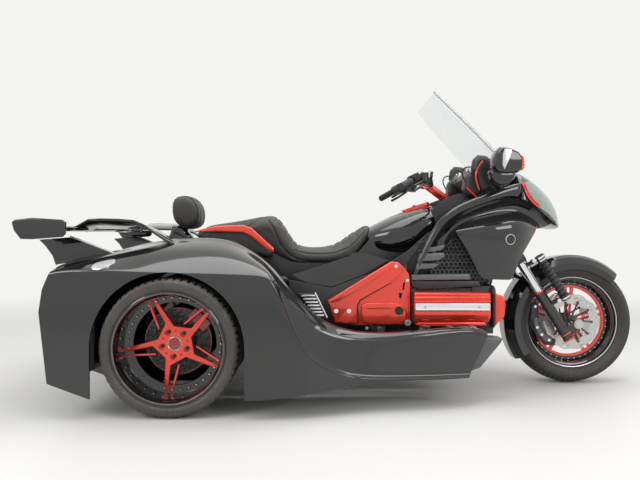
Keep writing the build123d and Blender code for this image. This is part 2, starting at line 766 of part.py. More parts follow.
# along, top up, upper out, upper up, waist out, waist up, lower out, lower up
nose_row_shares = [
    (0.8153, 1.130, 0.435, 1.045, 0.41, 0.920, 0.54, 0.845),
    (0.864, 1.108, 0.35, 1.010, 0.38, 0.900, 0.48, 0.830),
    (0.904, 1.048, 0.27, 0.955, 0.31, 0.880, 0.36, 0.800),
    (0.940, 0.990, 0.17, 0.895, 0.21, 0.850, 0.23, 0.775),
    (0.966, 0.885, 0.07, 0.850, 0.08, 0.820, 0.08, 0.780),
]


def fairing_side():
    rows = []
    for along, upper_out, upper_up, waist_out, waist_up, lower_out, lower_up in fairing_side_row_shares:
        line = [(-out(upper_out), at_z(upper_up)), (-out(waist_out), at_z(waist_up)),
                (-out(lower_out), at_z(lower_up))]
        inner = [(y + fairing_wall, z) for y, z in reversed(line)]
        rows.append((at_x(along), line + inner))
    return loft([section(x, corners) for x, corners in rows], ruled=True)


def nose():
    rows = []
    for along, top, upper_out, upper_up, waist_out, waist_up, lower_out, lower_up in nose_row_shares:
        right = [(-out(lower_out), at_z(lower_up)), (-out(waist_out), at_z(waist_up)),
                 (-out(upper_out), at_z(upper_up))]
        left = [(-y, z) for y, z in reversed(right)]
        rows.append((at_x(along), [*right, (0, at_z(top)), *left]))
    solid = loft([section(x, corners) for x, corners in rows], ruled=True)
    outer = solid
    walls = [fairing_wall] * 6 + [-overrun]
    cavity_rows = [(x, inset(corners, walls)) for x, corners in rows[:-1]]
    cavity_rows[0] = (cavity_rows[0][0] - fit_gap, cavity_rows[0][1])
    cavity = loft([section(x, corners) for x, corners in cavity_rows], ruled=True)
    return solid - cavity, outer


nose_shell, nose_solid = nose()


# Rear axle, frame, engine and what is bolted to them
axle_housing_radius = 92.0
axle_housing_half = 95.0
hub_carrier_radius = 66.0
hub_carrier_from, hub_carrier_to = 380.0, 474.0


def rear_axle():
    axle = Vector(rear_axle_x, 0, rear_axle_z)
    side = Vector(0, 1, 0)
    shape = rod(axle - side * axle_housing_half, axle + side * axle_housing_half, axle_housing_radius)
    shape += rod(axle - side * hub_carrier_to, axle + side * hub_carrier_to, axle_tube_radius)
    shaft_end = rear_wheel_out + rear_spoke_face - rear_spoke_depth * 0.3
    shape += rod(axle - side * shaft_end, axle + side * shaft_end, rear_hub_bore - fit_gap)
    for sign in (-1, 1):
        shape += rod(axle + side * sign * hub_carrier_from, axle + side * sign * hub_carrier_to, hub_carrier_radius)
    return shape


frame_tube = 22.0
# runs of tube: along, out, up; the spars and the cradle start at the head tube
spar_shares = [(0.60, 0.17, 0.70), (0.42, 0.27, 0.53), (0.375, 0.27, 0.30)]
rail_shares = [(0.42, 0.27, 0.53), (-0.03, 0.22, 0.5777)]
cradle_shares = [(0.745, 0.12, 0.35), (0.68, 0.22, 0.17), (0.40, 0.21, 0.25), (0.07, 0.20, 0.27), (0.0, 0.20, 0.298)]
cradle_cross = (0.56, 0.215, 0.204)
frame_bend = 70.0
pipe_bend = 45.0
stay_radius = 12.0
stay_reach = 200.0


def tube_run(points, radius, bend):
    """A round tube along straight runs with a bend of one radius at each turn."""
    points = [Vector(*point) for point in points]
    path = FilletPolyline(*points, radius=bend)
    start = Plane(origin=points[0], z_dir=(points[1] - points[0]).normalized())
    return sweep(start * Circle(radius), path=path)


def run_points(shares):
    return [Vector(at_x(x), -out(y), at_z(z)) for x, y, z in shares]


head_high = leg_point(upper_yoke_at - frame_tube * 2, 0, -yoke_offset)
head_low = leg_point(lower_yoke_at + yoke_thickness + frame_tube * 3.2, 0, -yoke_offset)
spar_points = [head_high, *run_points(spar_shares)]
cradle_points = [head_low, *run_points(cradle_shares)]


def cross_tube(place_shares):
    """A tube across between the same place on both sides."""
    along, aside, up = place_shares
    end = Vector(at_x(along), -out(aside), at_z(up))
    return rod(end, end + Vector(0, 2 * out(aside), 0), frame_tube * 0.8)


def frame():
    """Head tube, the two spars down to the pivot plates, and the seat rails."""
    low = leg_point(lower_yoke_at + yoke_thickness + axial_gap, 0, -yoke_offset)
    high = leg_point(upper_yoke_at - axial_gap, 0, -yoke_offset)
    rail = run_points(rail_shares)
    half = tube_run(spar_points, frame_tube, frame_bend) + rod(rail[0], rail[1], frame_tube)
    shape = half + to_left(half) + rod(low, high, head_tube_radius)
    shape += cross_tube(spar_shares[-1]) + cross_tube(rail_shares[-1])
    stay_foot = (head_high + head_low) * 0.5
    stay_turn = stay_foot + leg_ahead * stay_reach
    stay_top = Vector(stay_turn.X, 0, at_z(nose_row_shares[0][1]))
    shape += tube_run([stay_foot, stay_turn, stay_top], stay_radius, pipe_bend)
    return shape - rod(low - leg_up * overrun, high + leg_up * overrun, stem_radius + running_gap)


def frame_cradle():
    """The tubes under the engine and those that carry the rear axle, joined to the spars."""
    half = tube_run(cradle_points, frame_tube, frame_bend)
    shape = half + to_left(half) + cross_tube(cradle_cross)
    low = leg_point(lower_yoke_at, 0, -yoke_offset)
    high = leg_point(upper_yoke_at, 0, -yoke_offset)
    shape -= rod(low, high, head_tube_radius + fit_gap)
    spar = tube_run(spar_points, frame_tube + fit_gap, frame_bend)
    shape -= spar + to_left(spar)
    axle = Vector(rear_axle_x, 0, rear_axle_z)
    side = Vector(0, axle_housing_half + fit_gap, 0)
    shape -= rod(axle - side, axle + side, axle_housing_radius + fit_gap)
    shape -= rod(axle - side * 4, axle + side * 4, axle_tube_radius + fit_gap)
    return shape.solids().sort_by(SortBy.VOLUME)[-1]


engine_half_width = 145.0
engine_shares = [(0.40, 0.24), (0.40, 0.44), (0.50, 0.56), (0.70, 0.56), (0.73, 0.50), (0.73, 0.30), (0.66, 0.22)]
head_out = 300.0
head_low_share, head_high_share = 0.345, 0.520
head_back_share, head_front_share = 0.552, 0.744
head_cover_outs = 82.0
strip_thickness = 6.0


def engine():
    """The flat engine as plain masses: crankcase and one cylinder bank each side."""
    case = across_prism(engine_shares, engine_half_width)
    bank = box_between((at_x(head_back_share), -head_out, at_z(head_low_share)),
                       (at_x(head_front_share), head_out, at_z(head_high_share)))
    shape = case + bank
    gone = frame_clear()
    return shape - gone


def frame_clear():
    gap = frame_tube + fit_gap
    half = tube_run(spar_points, gap, frame_bend) + tube_run(cradle_points, gap, frame_bend)
    return half + to_left(half)


def x_prism(corners, x_from, x_to):
    """An outline across the vehicle carried along X; corners are (out, z)."""
    flat = make_face(Polyline(*[Vector(x_from, -y, z) for y, z in corners], close=True))
    return extrude(flat, amount=x_to - x_from, dir=(1, 0, 0))


def head_cover():
    """A domed cover with ribs along it and a recess for the bright strip."""
    base = head_out + fit_gap
    low, high = at_z(head_low_share), at_z(head_high_share)
    tall = high - low
    face_out = base + head_cover_outs
    corners = [
        (base, high), (face_out - tall * 0.13, high - tall * 0.03), (face_out, high - tall * 0.14),
        (face_out, low + tall * 0.62), (face_out - strip_thickness, low + tall * 0.62),
        (face_out - strip_thickness, low + tall * 0.44), (face_out, low + tall * 0.44),
        (face_out, low + tall * 0.34), (face_out - tall * 0.2, low + tall * 0.06), (base, low),
    ]
    cover = x_prism(corners, at_x(head_back_share), at_x(head_front_share))
    for share in (0.70, 0.78):
        rib = rod((at_x(head_back_share + 0.02), -face_out, low + tall * share),
                  (at_x(head_front_share - 0.012), -face_out, low + tall * share), strip_thickness / 2)
        cover += rib
    return cover


def head_strip():
    low, high = at_z(head_low_share), at_z(head_high_share)
    tall = high - low
    face_out = head_out + fit_gap + head_cover_outs
    return box_between(
        (at_x(head_back_share + 0.004), -face_out - strip_thickness / 2, low + tall * 0.445),
        (at_x(head_front_share - 0.003), -face_out + strip_thickness - fit_gap, low + tall * 0.615))


cover_out = 292.0
cover_plate = 20.0
cover_bar = 24.0
frame_cover_shares = [(0.345, 0.455), (0.50, 0.648), (0.53, 0.619), (0.5487, 0.571), (0.5487, 0.346),
                      (0.424, 0.340), (0.363, 0.352)]
cover_bar_shares = [(0.345, 0.455), (0.50, 0.648), (0.53, 0.619), (0.535, 0.600), (0.43, 0.475),
                    (0.418, 0.345), (0.40, 0.343), (0.363, 0.352)]
gearcase_shares = [(0.434, 0.455), (0.505, 0.455), (0.530, 0.440), (0.540, 0.385), (0.525, 0.352),
                   (0.475, 0.346), (0.436, 0.362), (0.430, 0.390)]
gearcase_hole = (0.520, 0.416)
gearcase_hole_radius = 22.0


cover_pin_radius = 10.0
cover_pin_shares = ((0.414, 0.50), (0.387, 0.37))


def frame_cover():
    """The cover with a raised bar along its rear edge and pins to the spar behind it."""
    plate = side_prism(frame_cover_shares, cover_out, cover_out + cover_plate)
    cover = plate + side_prism(cover_bar_shares, cover_out, cover_out + cover_plate + cover_bar)
    for along, up in cover_pin_shares:
        cover += rod((at_x(along), -cover_out, at_z(up)),
                     (at_x(along), -out(spar_shares[-1][1]), at_z(up)), cover_pin_radius) - parts["frame"]
    return cover.solids().sort_by(SortBy.VOLUME)[-1]


def gearcase_cover():
    plate = side_prism(gearcase_shares, cover_out + cover_plate, cover_out + cover_plate + cover_bar * 0.8)
    place = Vector(at_x(gearcase_hole[0]), -cover_out - cover_plate, at_z(gearcase_hole[1]))
    return plate - rod(place, place - Vector(0, overrun, 0), gearcase_hole_radius)


shroud_shares = [(0.7515, 0.499), (0.774, 0.485), (0.781, 0.442), (0.778, 0.389), (0.7515, 0.331)]
shroud_out = 330.0
guard_radius = 9.0
guard_bend = 30.0
guard_shares = [(0.7515, 0.13, 0.335), (0.7515, 0.46, 0.335), (0.7515, 0.46, 0.525), (0.7515, 0.10, 0.525)]
parts["frame"] = (frame() - nose_shell).solids().sort_by(SortBy.VOLUME)[-1]
parts["frame_cradle"] = frame_cradle()
parts["engine"] = engine()
parts["head_covers"] = both_sides(head_cover())
parts["head_strips"] = both_sides(head_strip())
parts["frame_covers"] = both_sides(frame_cover())
parts["gearcase_covers"] = both_sides(gearcase_cover())

# Seat, its cowl and trims, and the backrest
seat_half_width = 168.0
seat_edge = 9.0
seat_shares = [
    (0.014, 0.772), (0.02, 0.80), (0.075, 0.812), (0.198, 0.882), (0.214, 0.874), (0.229, 0.844),
    (0.25, 0.763), (0.268, 0.727), (0.307, 0.712), (0.353, 0.717), (0.392, 0.753), (0.422, 0.824),
    (0.451, 0.841), (0.463, 0.829), (0.458, 0.793), (0.425, 0.692), (0.392, 0.645), (0.29, 0.625),
    (0.237, 0.625), (0.2, 0.70), (0.169, 0.775),
]


def padded(shares, half_width, edge):
    """A soft body: the side outline right across, its two outer rims bevelled."""
    block = across_prism(shares, half_width)
    rims = block.faces().sort_by(Axis.Y)[0].edges() + block.faces().sort_by(Axis.Y)[-1].edges()
    return chamfer(rims, edge)


cowl_out = 238.0
trim_thickness = 16.0
cowl_shares = [(0.01, 0.740), (0.01, 0.770), (0.06, 0.806), (0.14, 0.816), (0.182, 0.766), (0.21, 0.700),
               (0.205, 0.664), (0.192, 0.664), (0.125, 0.740)]
trim_shares = [(0.006, 0.798), (0.064, 0.817), (0.144, 0.827), (0.182, 0.778), (0.212, 0.704),
               (0.207, 0.689), (0.169, 0.753), (0.126, 0.800)]
backrest_shares = [(-0.065, 0.965), (-0.056, 0.983), (-0.046, 0.991), (-0.011, 0.991), (0.003, 0.965),
                   (0.016, 0.901), (0.011, 0.816), (-0.024, 0.794), (-0.060, 0.832)]
backrest_half_width = 135.0
post_shares = [(-0.078, 0.700), (-0.0785, 0.784), (-0.058, 0.834), (-0.026, 0.796), (-0.008, 0.786),
               (-0.008, 0.700)]
post_half_width = 60.0


parts["seat"] = padded(seat_shares, seat_half_width, seat_edge)
parts["backrest"] = padded(backrest_shares, backrest_half_width, seat_edge)
post = across_prism(post_shares, post_half_width) - across_prism(backrest_shares, backrest_half_width)
for piece in parts["rear_deck"]:
    post -= piece
parts["backrest_post"] = post.solids().sort_by(Axis.Z)[-1]
cowl = side_prism(cowl_shares, seat_half_width + fit_gap, cowl_out) - parts["rear_deck"][1]
parts["seat_cowl"] = both_sides(cowl.solids().sort_by(SortBy.VOLUME)[-1])
parts["seat_trims"] = both_sides(side_prism(trim_shares, cowl_out + fit_gap, cowl_out + trim_thickness))

# Tank cover, side panels and knee panels
# along, half width low, low, half width high, high
tank_row_shares = [
    (0.436, 0.17, 0.700, 0.12, 0.735),
    (0.459, 0.20, 0.680, 0.12, 0.823),
    (0.493, 0.24, 0.665, 0.13, 0.888),
    (0.544, 0.27, 0.665, 0.15, 0.930),
    (0.605, 0.28, 0.720, 0.17, 0.950),
    (0.636, 0.265, 0.760, 0.16, 0.946),
]
side_panel_shares = [(0.240, 0.577), (0.277, 0.596), (0.432, 0.694), (0.503, 0.650), (0.345, 0.462),
                     (0.335, 0.498), (0.277, 0.503)]
side_panel_out = 262.0
panel_pin_radius = 8.0
panel_pin_shares = ((0.295, 0.5425), (0.385, 0.534))
knee_shares = [(0.505, 0.652), (0.580, 0.745), (0.536, 0.622)]
knee_out = 285.0
knee_pin_shares = (0.535, 0.6455)


def tank_cover():
    rows = []
    for along, low_out, low, high_out, high in tank_row_shares:
        rows.append((at_x(along), [
            (-out(low_out), at_z(low)), (-out(low_out), at_z(low * 0.6 + high * 0.4)),
            (-out(high_out), at_z(high)), (out(high_out), at_z(high)),
            (out(low_out), at_z(low * 0.6 + high * 0.4)), (out(low_out), at_z(low)),
        ]))
    solid = loft([section(x, corners) for x, corners in rows], ruled=True)
    walls = [panel_wall] * 5 + [-overrun]
    cavity = loft([section(x, inset(corners, walls)) for x, corners in rows], ruled=True)
    return solid - cavity - across_prism(seat_shares, seat_half_width)


parts["tank_cover"] = tank_cover()


def side_panel():
    """The panel with the pins that hold it to the frame's rail."""
    panel = side_prism(side_panel_shares, side_panel_out - cover_plate, side_panel_out)
    for along, up in panel_pin_shares:
        panel += rod((at_x(along), -side_panel_out + cover_plate, at_z(up)),
                     (at_x(along), -out(rail_shares[0][1]), at_z(up)), panel_pin_radius) - parts["frame"]
    return panel.solids().sort_by(SortBy.VOLUME)[-1]


parts["side_panels"] = both_sides(side_panel())


def knee_panel():
    """The panel with the pin that holds it to the frame's spar."""
    inner = knee_out - panel_wall * 2
    along, up = knee_pin_shares
    panel = side_prism(knee_shares, inner, knee_out)
    panel += rod((at_x(along), -inner, at_z(up)), (at_x(along), -out(spar_shares[0][1]), at_z(up)),
                 panel_pin_radius) - parts["frame"]
    return panel.solids().sort_by(SortBy.VOLUME)[-1]


parts["knee_panels"] = both_sides(knee_panel())

# What the fairing carries, and the screen
headlamp_shares = [(0.827, 1.030), (0.853, 1.040), (0.899, 0.995), (0.927, 0.935), (0.940, 0.885), (0.931, 0.835),
                   (0.920, 0.850), (0.892, 0.893), (0.853, 0.932), (0.832, 0.990)]
headlamp_in, headlamp_out = 60.0, 420.0


def headlamp_window(gap):
    """What lies within the lamp's outline, drawn in by a gap, on the right side."""
    corners = [(at_x(x), at_z(z)) for x, z in headlamp_shares]
    if gap:
        corners = inset(corners, [gap] * len(corners))
    flat = make_face(Polyline(*[Vector(x, -headlamp_in - gap, z) for x, z in corners], close=True))
    return extrude(flat, amount=headlamp_out - headlamp_in, dir=(0, -1, 0))


scoop_shares = [(0.656, 0.801), (0.708, 0.825), (0.791, 0.843), (0.839, 0.839), (0.863, 0.820), (0.845, 0.760),
                (0.827, 0.707), (0.815, 0.640), (0.796, 0.562), (0.725, 0.562), (0.712, 0.640), (0.696, 0.707)]
scoop_out = 394.5
scoop_wall = 12.0
# along back, along front, low, high
louvre_row_shares = [
    (0.583, 0.640, 0.715, 0.742),
    (0.568, 0.652, 0.675, 0.702),
    (0.554, 0.640, 0.635, 0.662),
    (0.548, 0.630, 0.595, 0.622),
]
louvre_out = 330.0
duct_shares = [(0.551, 0.530), (0.551, 0.578), (0.66, 0.578), (0.665, 0.570), (0.665, 0.530)]
core_shares = [(0.600, 0.5203), (0.600, 0.755), (0.700, 0.755), (0.735, 0.600), (0.735, 0.5203)]
core_out = 262.0
core_thickness = 30.0
louvre_width = louvre_out - core_out - fit_gap


def louvres():
    blades = []
    for back, front, low, high in louvre_row_shares:
        shares = [(back, low), (back + 0.004, high), ((back + front) / 2, high), (front, low + 0.006), (front, low)]
        blades.append(side_prism(shares, louvre_out - louvre_width, louvre_out))
    return blades


# Windscreen: a bent sheet through sections square to its slope
screen_wall = 4.0
# along, up at the middle, half width, sag of the edges behind the middle
screen_row_shares = [
    (0.632, 1.524, 0.33, 0.075),
    (0.730, 1.335, 0.40, 0.095),
    (0.850, 1.097, 0.42, 0.105),
]


def windscreen():
    first, last = screen_row_shares[0], screen_row_shares[-1]
    slope = Vector(at_x(last[0]) - at_x(first[0]), 0, at_z(last[1]) - at_z(first[1])).normalized()
    ahead = Vector(-slope.Z, 0, slope.X)
    faces = []
    for along, up, half_share, sag_share in screen_row_shares:
        middle = Vector(at_x(along), 0, at_z(up))
        side = Vector(0, out(half_share), 0)
        edge = middle - ahead * out(sag_share)
        thick = ahead * screen_wall
        faces.append(make_face([
            ThreePointArc(edge - side, middle, edge + side),
            Line(edge + side, edge + side - thick),
            ThreePointArc(edge + side - thick, middle - thick, edge - side - thick),
            Line(edge - side - thick, edge - side),
        ]))
    return loft(faces)


mirror_shares = [(0.720, 1.090), (0.760, 1.192), (0.800, 1.164), (0.807, 1.118), (0.802, 1.071), (0.738, 1.062)]
mirror_out = 352.0
mirror_depth = 125.0
mirror_stalk_radius = 14.0
mirror_stalk_shares = (0.789, 0.40, 1.000, 0.50, 1.100)
dash_shares = [(0.690, 1.040), (0.712, 1.120), (0.745, 1.150), (0.775, 1.110), (0.835, 1.060),
               (0.835, 1.005), (0.800, 1.000)]
dash_half_width = 318.0


def mirror_pod():
    pod_block = side_prism(mirror_shares, mirror_out, mirror_out + mirror_depth)
    along, foot_out, foot_up, top_out, top_up = mirror_stalk_shares
    stalk = rod((at_x(along), -out(foot_out), at_z(foot_up)), (at_x(along), -out(top_out), at_z(top_up)),
                mirror_stalk_radius)
    whole = pod_block + (stalk - side_panel_solid)
    return whole.solids().sort_by(SortBy.VOLUME)[-1]


lens = nose_shell & headlamp_window(fit_gap)
parts["headlamps"] = both_sides(lens.solids().sort_by(SortBy.VOLUME)[-1])
window = headlamp_window(0)
nose_shell = (nose_shell - window - to_left(window)).solids().sort_by(SortBy.VOLUME)[-1]
side_panel_solid = fairing_side()
parts["fairing"] = [nose_shell, *both_sides(side_panel_solid)]
parts["scoops"] = both_sides(side_prism(scoop_shares, scoop_out, scoop_out + scoop_wall))
duct = side_prism(duct_shares, louvre_out - louvre_width, louvre_out)
parts["louvres"] = both_sides(*louvres(), duct)
parts["radiators"] = both_sides(side_prism(core_shares, core_out - core_thickness, core_out))
parts["windscreen"] = (windscreen() - nose_solid).solids().sort_by(SortBy.VOLUME)[-1]
parts["mirrors"] = both_sides(mirror_pod())
dash_block = across_prism(dash_shares, dash_half_width) - nose_solid - parts["windscreen"]
for piece in (*both_sides(side_panel_solid), *parts["mirrors"]):
    dash_block -= piece
parts["dash"] = dash_block.solids().sort_by(SortBy.VOLUME)[-1]
guard = tube_run(run_points(guard_shares), guard_radius, guard_bend) - parts["frame_cradle"]
guard = guard.solids().sort_by(SortBy.VOLUME)[-1]
parts["engine_guards"] = both_sides(guard)
shroud = side_prism(shroud_shares, shroud_out - cover_plate, shroud_out)
shroud -= tube_run(run_points(guard_shares), guard_radius + fit_gap, guard_bend)
parts["radiator_shrouds"] = both_sides(shroud.solids().sort_by(SortBy.VOLUME)[-1])

# Rear brakes, exhausts, footpegs and lamps
rear_caliper_along, rear_caliper_across, rear_caliper_tall = 100.0, 66.0, 56.0


def rear_caliper():
    place = Vector(rear_axle_x, -(rear_wheel_out + rear_disc_at), rear_axle_z)
    block = Pos(place.X + rear_disc_radius * 0.66, place.Y, place.Z + rear_disc_radius * 0.66) * (
        Rot(0, 45, 0) * Box(rear_caliper_along, rear_caliper_across, rear_caliper_tall)
    )
    slot = rod(place - Vector(0, rear_disc_width, 0), place + Vector(0, rear_disc_width, 0),
               rear_disc_radius + pad_gap)
    return block - slot


muffler_radius = 52.0
pipe_radius = 20.0
muffler_out = 250.0
muffler_mouth_share = 0.04
# along, up: under the cylinders, the turn below them, the silencer's two ends
exhaust_shares = [(0.64, 0.0), (0.64, 0.20), (0.20, 0.17), (-0.24, 0.21)]
lamp_radius = 34.0
lamp_place_shares = [(0.60, 0.545), (0.80, 0.54)]
lamp_proud = 12.0


def exhaust():
    """Header, the run below the floor and the silencer beside the axle."""
    high = at_z(head_low_share) - fit_gap
    turn, mouth = exhaust_shares[1], exhaust_shares[2]
    pipe = tube_run([
        Vector(at_x(exhaust_shares[0][0]), -muffler_out, high),
        Vector(at_x(turn[0]), -muffler_out, at_z(turn[1])),
        Vector(at_x(mouth[0]), -muffler_out, at_z(mouth[1])),
    ], pipe_radius, pipe_bend)
    tail = exhaust_shares[3]
    can = rod((at_x(mouth[0]), -muffler_out, at_z(mouth[1])),
              (at_x(tail[0]), -muffler_out, at_z(tail[1])), muffler_radius)
    bore = rod((at_x(tail[0] + muffler_mouth_share), -muffler_out, at_z(tail[1])),
               (at_x(tail[0] - muffler_mouth_share), -muffler_out, at_z(tail[1])), pipe_radius * 1.6)
    return pipe + can - bore


def tail_lamps():
    """Round lamps that stand out of the back of each fender."""
    lamps = []
    for out_share, up_share in lamp_place_shares:
        middle = Vector(at_x(fender_side_shares[2][0]), -out(out_share), at_z(up_share))
        lamp = rod(middle - Vector(lamp_proud, 0, 0), middle + Vector(lamp_radius, 0, 0), lamp_radius)
        lamps.append((lamp - fender_solid).solids().sort_by(Axis.X)[0])
    return lamps


# a peg stands on a bracket below the gearcase: its fold pin, the rubber and the bracket's plate
peg_place_shares = (0.472, 0.325)
peg_length = 96.0
peg_radius = 14.0
peg_end_radius = 18.0
peg_bracket_shares = [(0.440, 0.360), (0.490, 0.360), (0.486, 0.312), (0.456, 0.312)]


def footpeg():
    along, up = peg_place_shares
    outer = cover_out + cover_plate
    start = Vector(at_x(along), -outer, at_z(up))
    bracket = side_prism(peg_bracket_shares, cover_out, outer) - side_prism(frame_cover_shares, cover_out, outer)
    peg = rod(start, start - Vector(0, peg_length, 0), peg_radius)
    end = rod(start - Vector(0, peg_length - peg_radius, 0), start - Vector(0, peg_length, 0), peg_end_radius)
    return bracket + peg + end


parts["rear_axle"] = rear_axle()
parts["rear_calipers"] = both_sides(rear_caliper())
parts["exhausts"] = both_sides(exhaust())
parts["tail_lamps"] = both_sides(*tail_lamps())
parts["footpegs"] = both_sides(footpeg())
os.makedirs("parts", exist_ok=True)
for name, shape in parts.items():
    if isinstance(shape, list):
        shape = Compound(children=shape)
    export_step(shape, "parts/" + name + ".step")
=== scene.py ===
import json
import math

import bmesh
import bpy
from mathutils import Matrix, Vector
from mathutils.bvhtree import BVHTree
from mathutils.kdtree import KDTree

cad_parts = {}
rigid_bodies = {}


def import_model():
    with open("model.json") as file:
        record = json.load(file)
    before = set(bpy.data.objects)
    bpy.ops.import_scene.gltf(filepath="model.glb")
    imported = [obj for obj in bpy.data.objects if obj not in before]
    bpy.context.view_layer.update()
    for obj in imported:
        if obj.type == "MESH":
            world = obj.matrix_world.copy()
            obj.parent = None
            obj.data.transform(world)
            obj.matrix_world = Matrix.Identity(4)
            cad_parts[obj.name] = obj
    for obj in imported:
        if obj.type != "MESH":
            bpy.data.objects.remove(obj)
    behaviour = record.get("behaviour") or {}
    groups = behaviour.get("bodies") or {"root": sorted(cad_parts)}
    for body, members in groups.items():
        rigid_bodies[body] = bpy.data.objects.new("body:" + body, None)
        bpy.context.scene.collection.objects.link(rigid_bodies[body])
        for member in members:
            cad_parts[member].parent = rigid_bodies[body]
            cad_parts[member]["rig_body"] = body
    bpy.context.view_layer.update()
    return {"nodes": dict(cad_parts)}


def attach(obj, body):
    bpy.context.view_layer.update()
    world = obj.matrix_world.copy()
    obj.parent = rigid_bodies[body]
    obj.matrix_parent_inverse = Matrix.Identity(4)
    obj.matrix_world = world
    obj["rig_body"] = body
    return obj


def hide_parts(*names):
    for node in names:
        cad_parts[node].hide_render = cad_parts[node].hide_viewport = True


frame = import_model()
nodes = frame["nodes"]
print("frame loaded")


# camera, light and floor

camera = {
    "place": (-0.195, -3.330, 0.773),
    "yaw": -0.367,  # degrees, towards the front of the trike
    "pitch": 89.633,
    "lens": 35.16,
}
cameraData = bpy.data.cameras.new("camera")
cameraData.lens = camera["lens"]
cameraData.sensor_width = 36
cameraObject = bpy.data.objects.new("camera", cameraData)
cameraObject.location = camera["place"]
cameraObject.rotation_euler = (math.radians(camera["pitch"]), 0, math.radians(camera["yaw"]))
bpy.context.scene.collection.objects.link(cameraObject)
bpy.context.scene.camera = cameraObject
bpy.context.scene.view_settings.view_transform = "Standard"

softLights = {  # place, looks at, size, power in watts
    "above": ((0.2, -0.3, 3.6), (0.0, 0.0, 0.0), (4.5, 2.6), 88),
    "front": ((2.6, -3.4, 2.3), (0.2, 0.0, 0.6), (2.0, 1.2), 36),
    "rear": ((-3.2, -2.9, 2.5), (-0.4, 0.0, 0.6), (2.0, 1.2), 36),
}
for name, (place, aim, size, power) in softLights.items():
    lamp = bpy.data.lights.new(name, "AREA")
    lamp.shape = "RECTANGLE"
    lamp.size, lamp.size_y = size
    lamp.energy = power
    lampObject = bpy.data.objects.new(name, lamp)
    lampObject.location = place
    lampObject.rotation_euler = (Vector(aim) - Vector(place)).to_track_quat("-Z", "Y").to_euler()
    bpy.context.scene.collection.objects.link(lampObject)

studio = {
    "shown": (0.90, 0.90, 0.885),  # seen behind the trike and mirrored in it
    "light": (0.84, 0.84, 0.84),
    "lightStrength": 0.72,
}
gloss = {"coatRoughness": 0.03, "bumpDistance": 0.002}
glasses = {  # colour, transmission, refraction
    "clearScreen": ((0.93, 0.95, 0.95), 0.95, 1.06),
    "lampLens": ((0.62, 0.70, 0.66), 0.7, 1.35),
    "redLens": ((0.75, 0.03, 0.02), 0.3, 1.4),
}
glassWear = {"dust": 0.06, "wear": 0.0, "wearColour": (0.6, 0.6, 0.6), "roughness": 0.02, "smudge": 0.05}
floor = {
    "dark": (0.80, 0.79, 0.77), "pale": (0.86, 0.855, 0.84),
    "patches": 0.8, "roughness": 0.5,
    # far from the trike the floor fades into the pale background, the same from every side
    "fadeFrom": 2.3, "fadeTo": 6.5, "radius": 9.0,
}


# shader groups and materials

def newGroup(name, inputs, outputs):
    group = bpy.data.node_groups.new(name, "ShaderNodeTree")
    for label, kind, value in inputs:
        socket = group.interface.new_socket(label, in_out="INPUT", socket_type=kind)
        socket.default_value = value
    for label, kind in outputs:
        group.interface.new_socket(label, in_out="OUTPUT", socket_type=kind)
    return group, group.nodes.new("NodeGroupInput"), group.nodes.new("NodeGroupOutput")


def addNode(tree, kind, settings=(), **values):
    node = tree.nodes.new("ShaderNode" + kind)
    for key, value in dict(settings).items():
        setattr(node, key, value)
    for key, value in values.items():
        node.inputs[key.replace("_", " ")].default_value = value
    return node


def addMath(tree, operation, first, second, clamp=False):
    node = addNode(tree, "Math", {"operation": operation, "use_clamp": clamp})
    for socket, value in zip(node.inputs, (first, second)):
        if isinstance(value, (int, float)):
            socket.default_value = value
        else:
            tree.links.new(value, socket)
    return node.outputs[0]


def addMix(tree, factor, first, second):
    node = addNode(tree, "Mix", {"data_type": "RGBA"})
    tree.links.new(factor, node.inputs[0])
    tree.links.new(first, node.inputs[6])  # a Mix node's colour sockets share their names
    tree.links.new(second, node.inputs[7])
    return node.outputs[2]


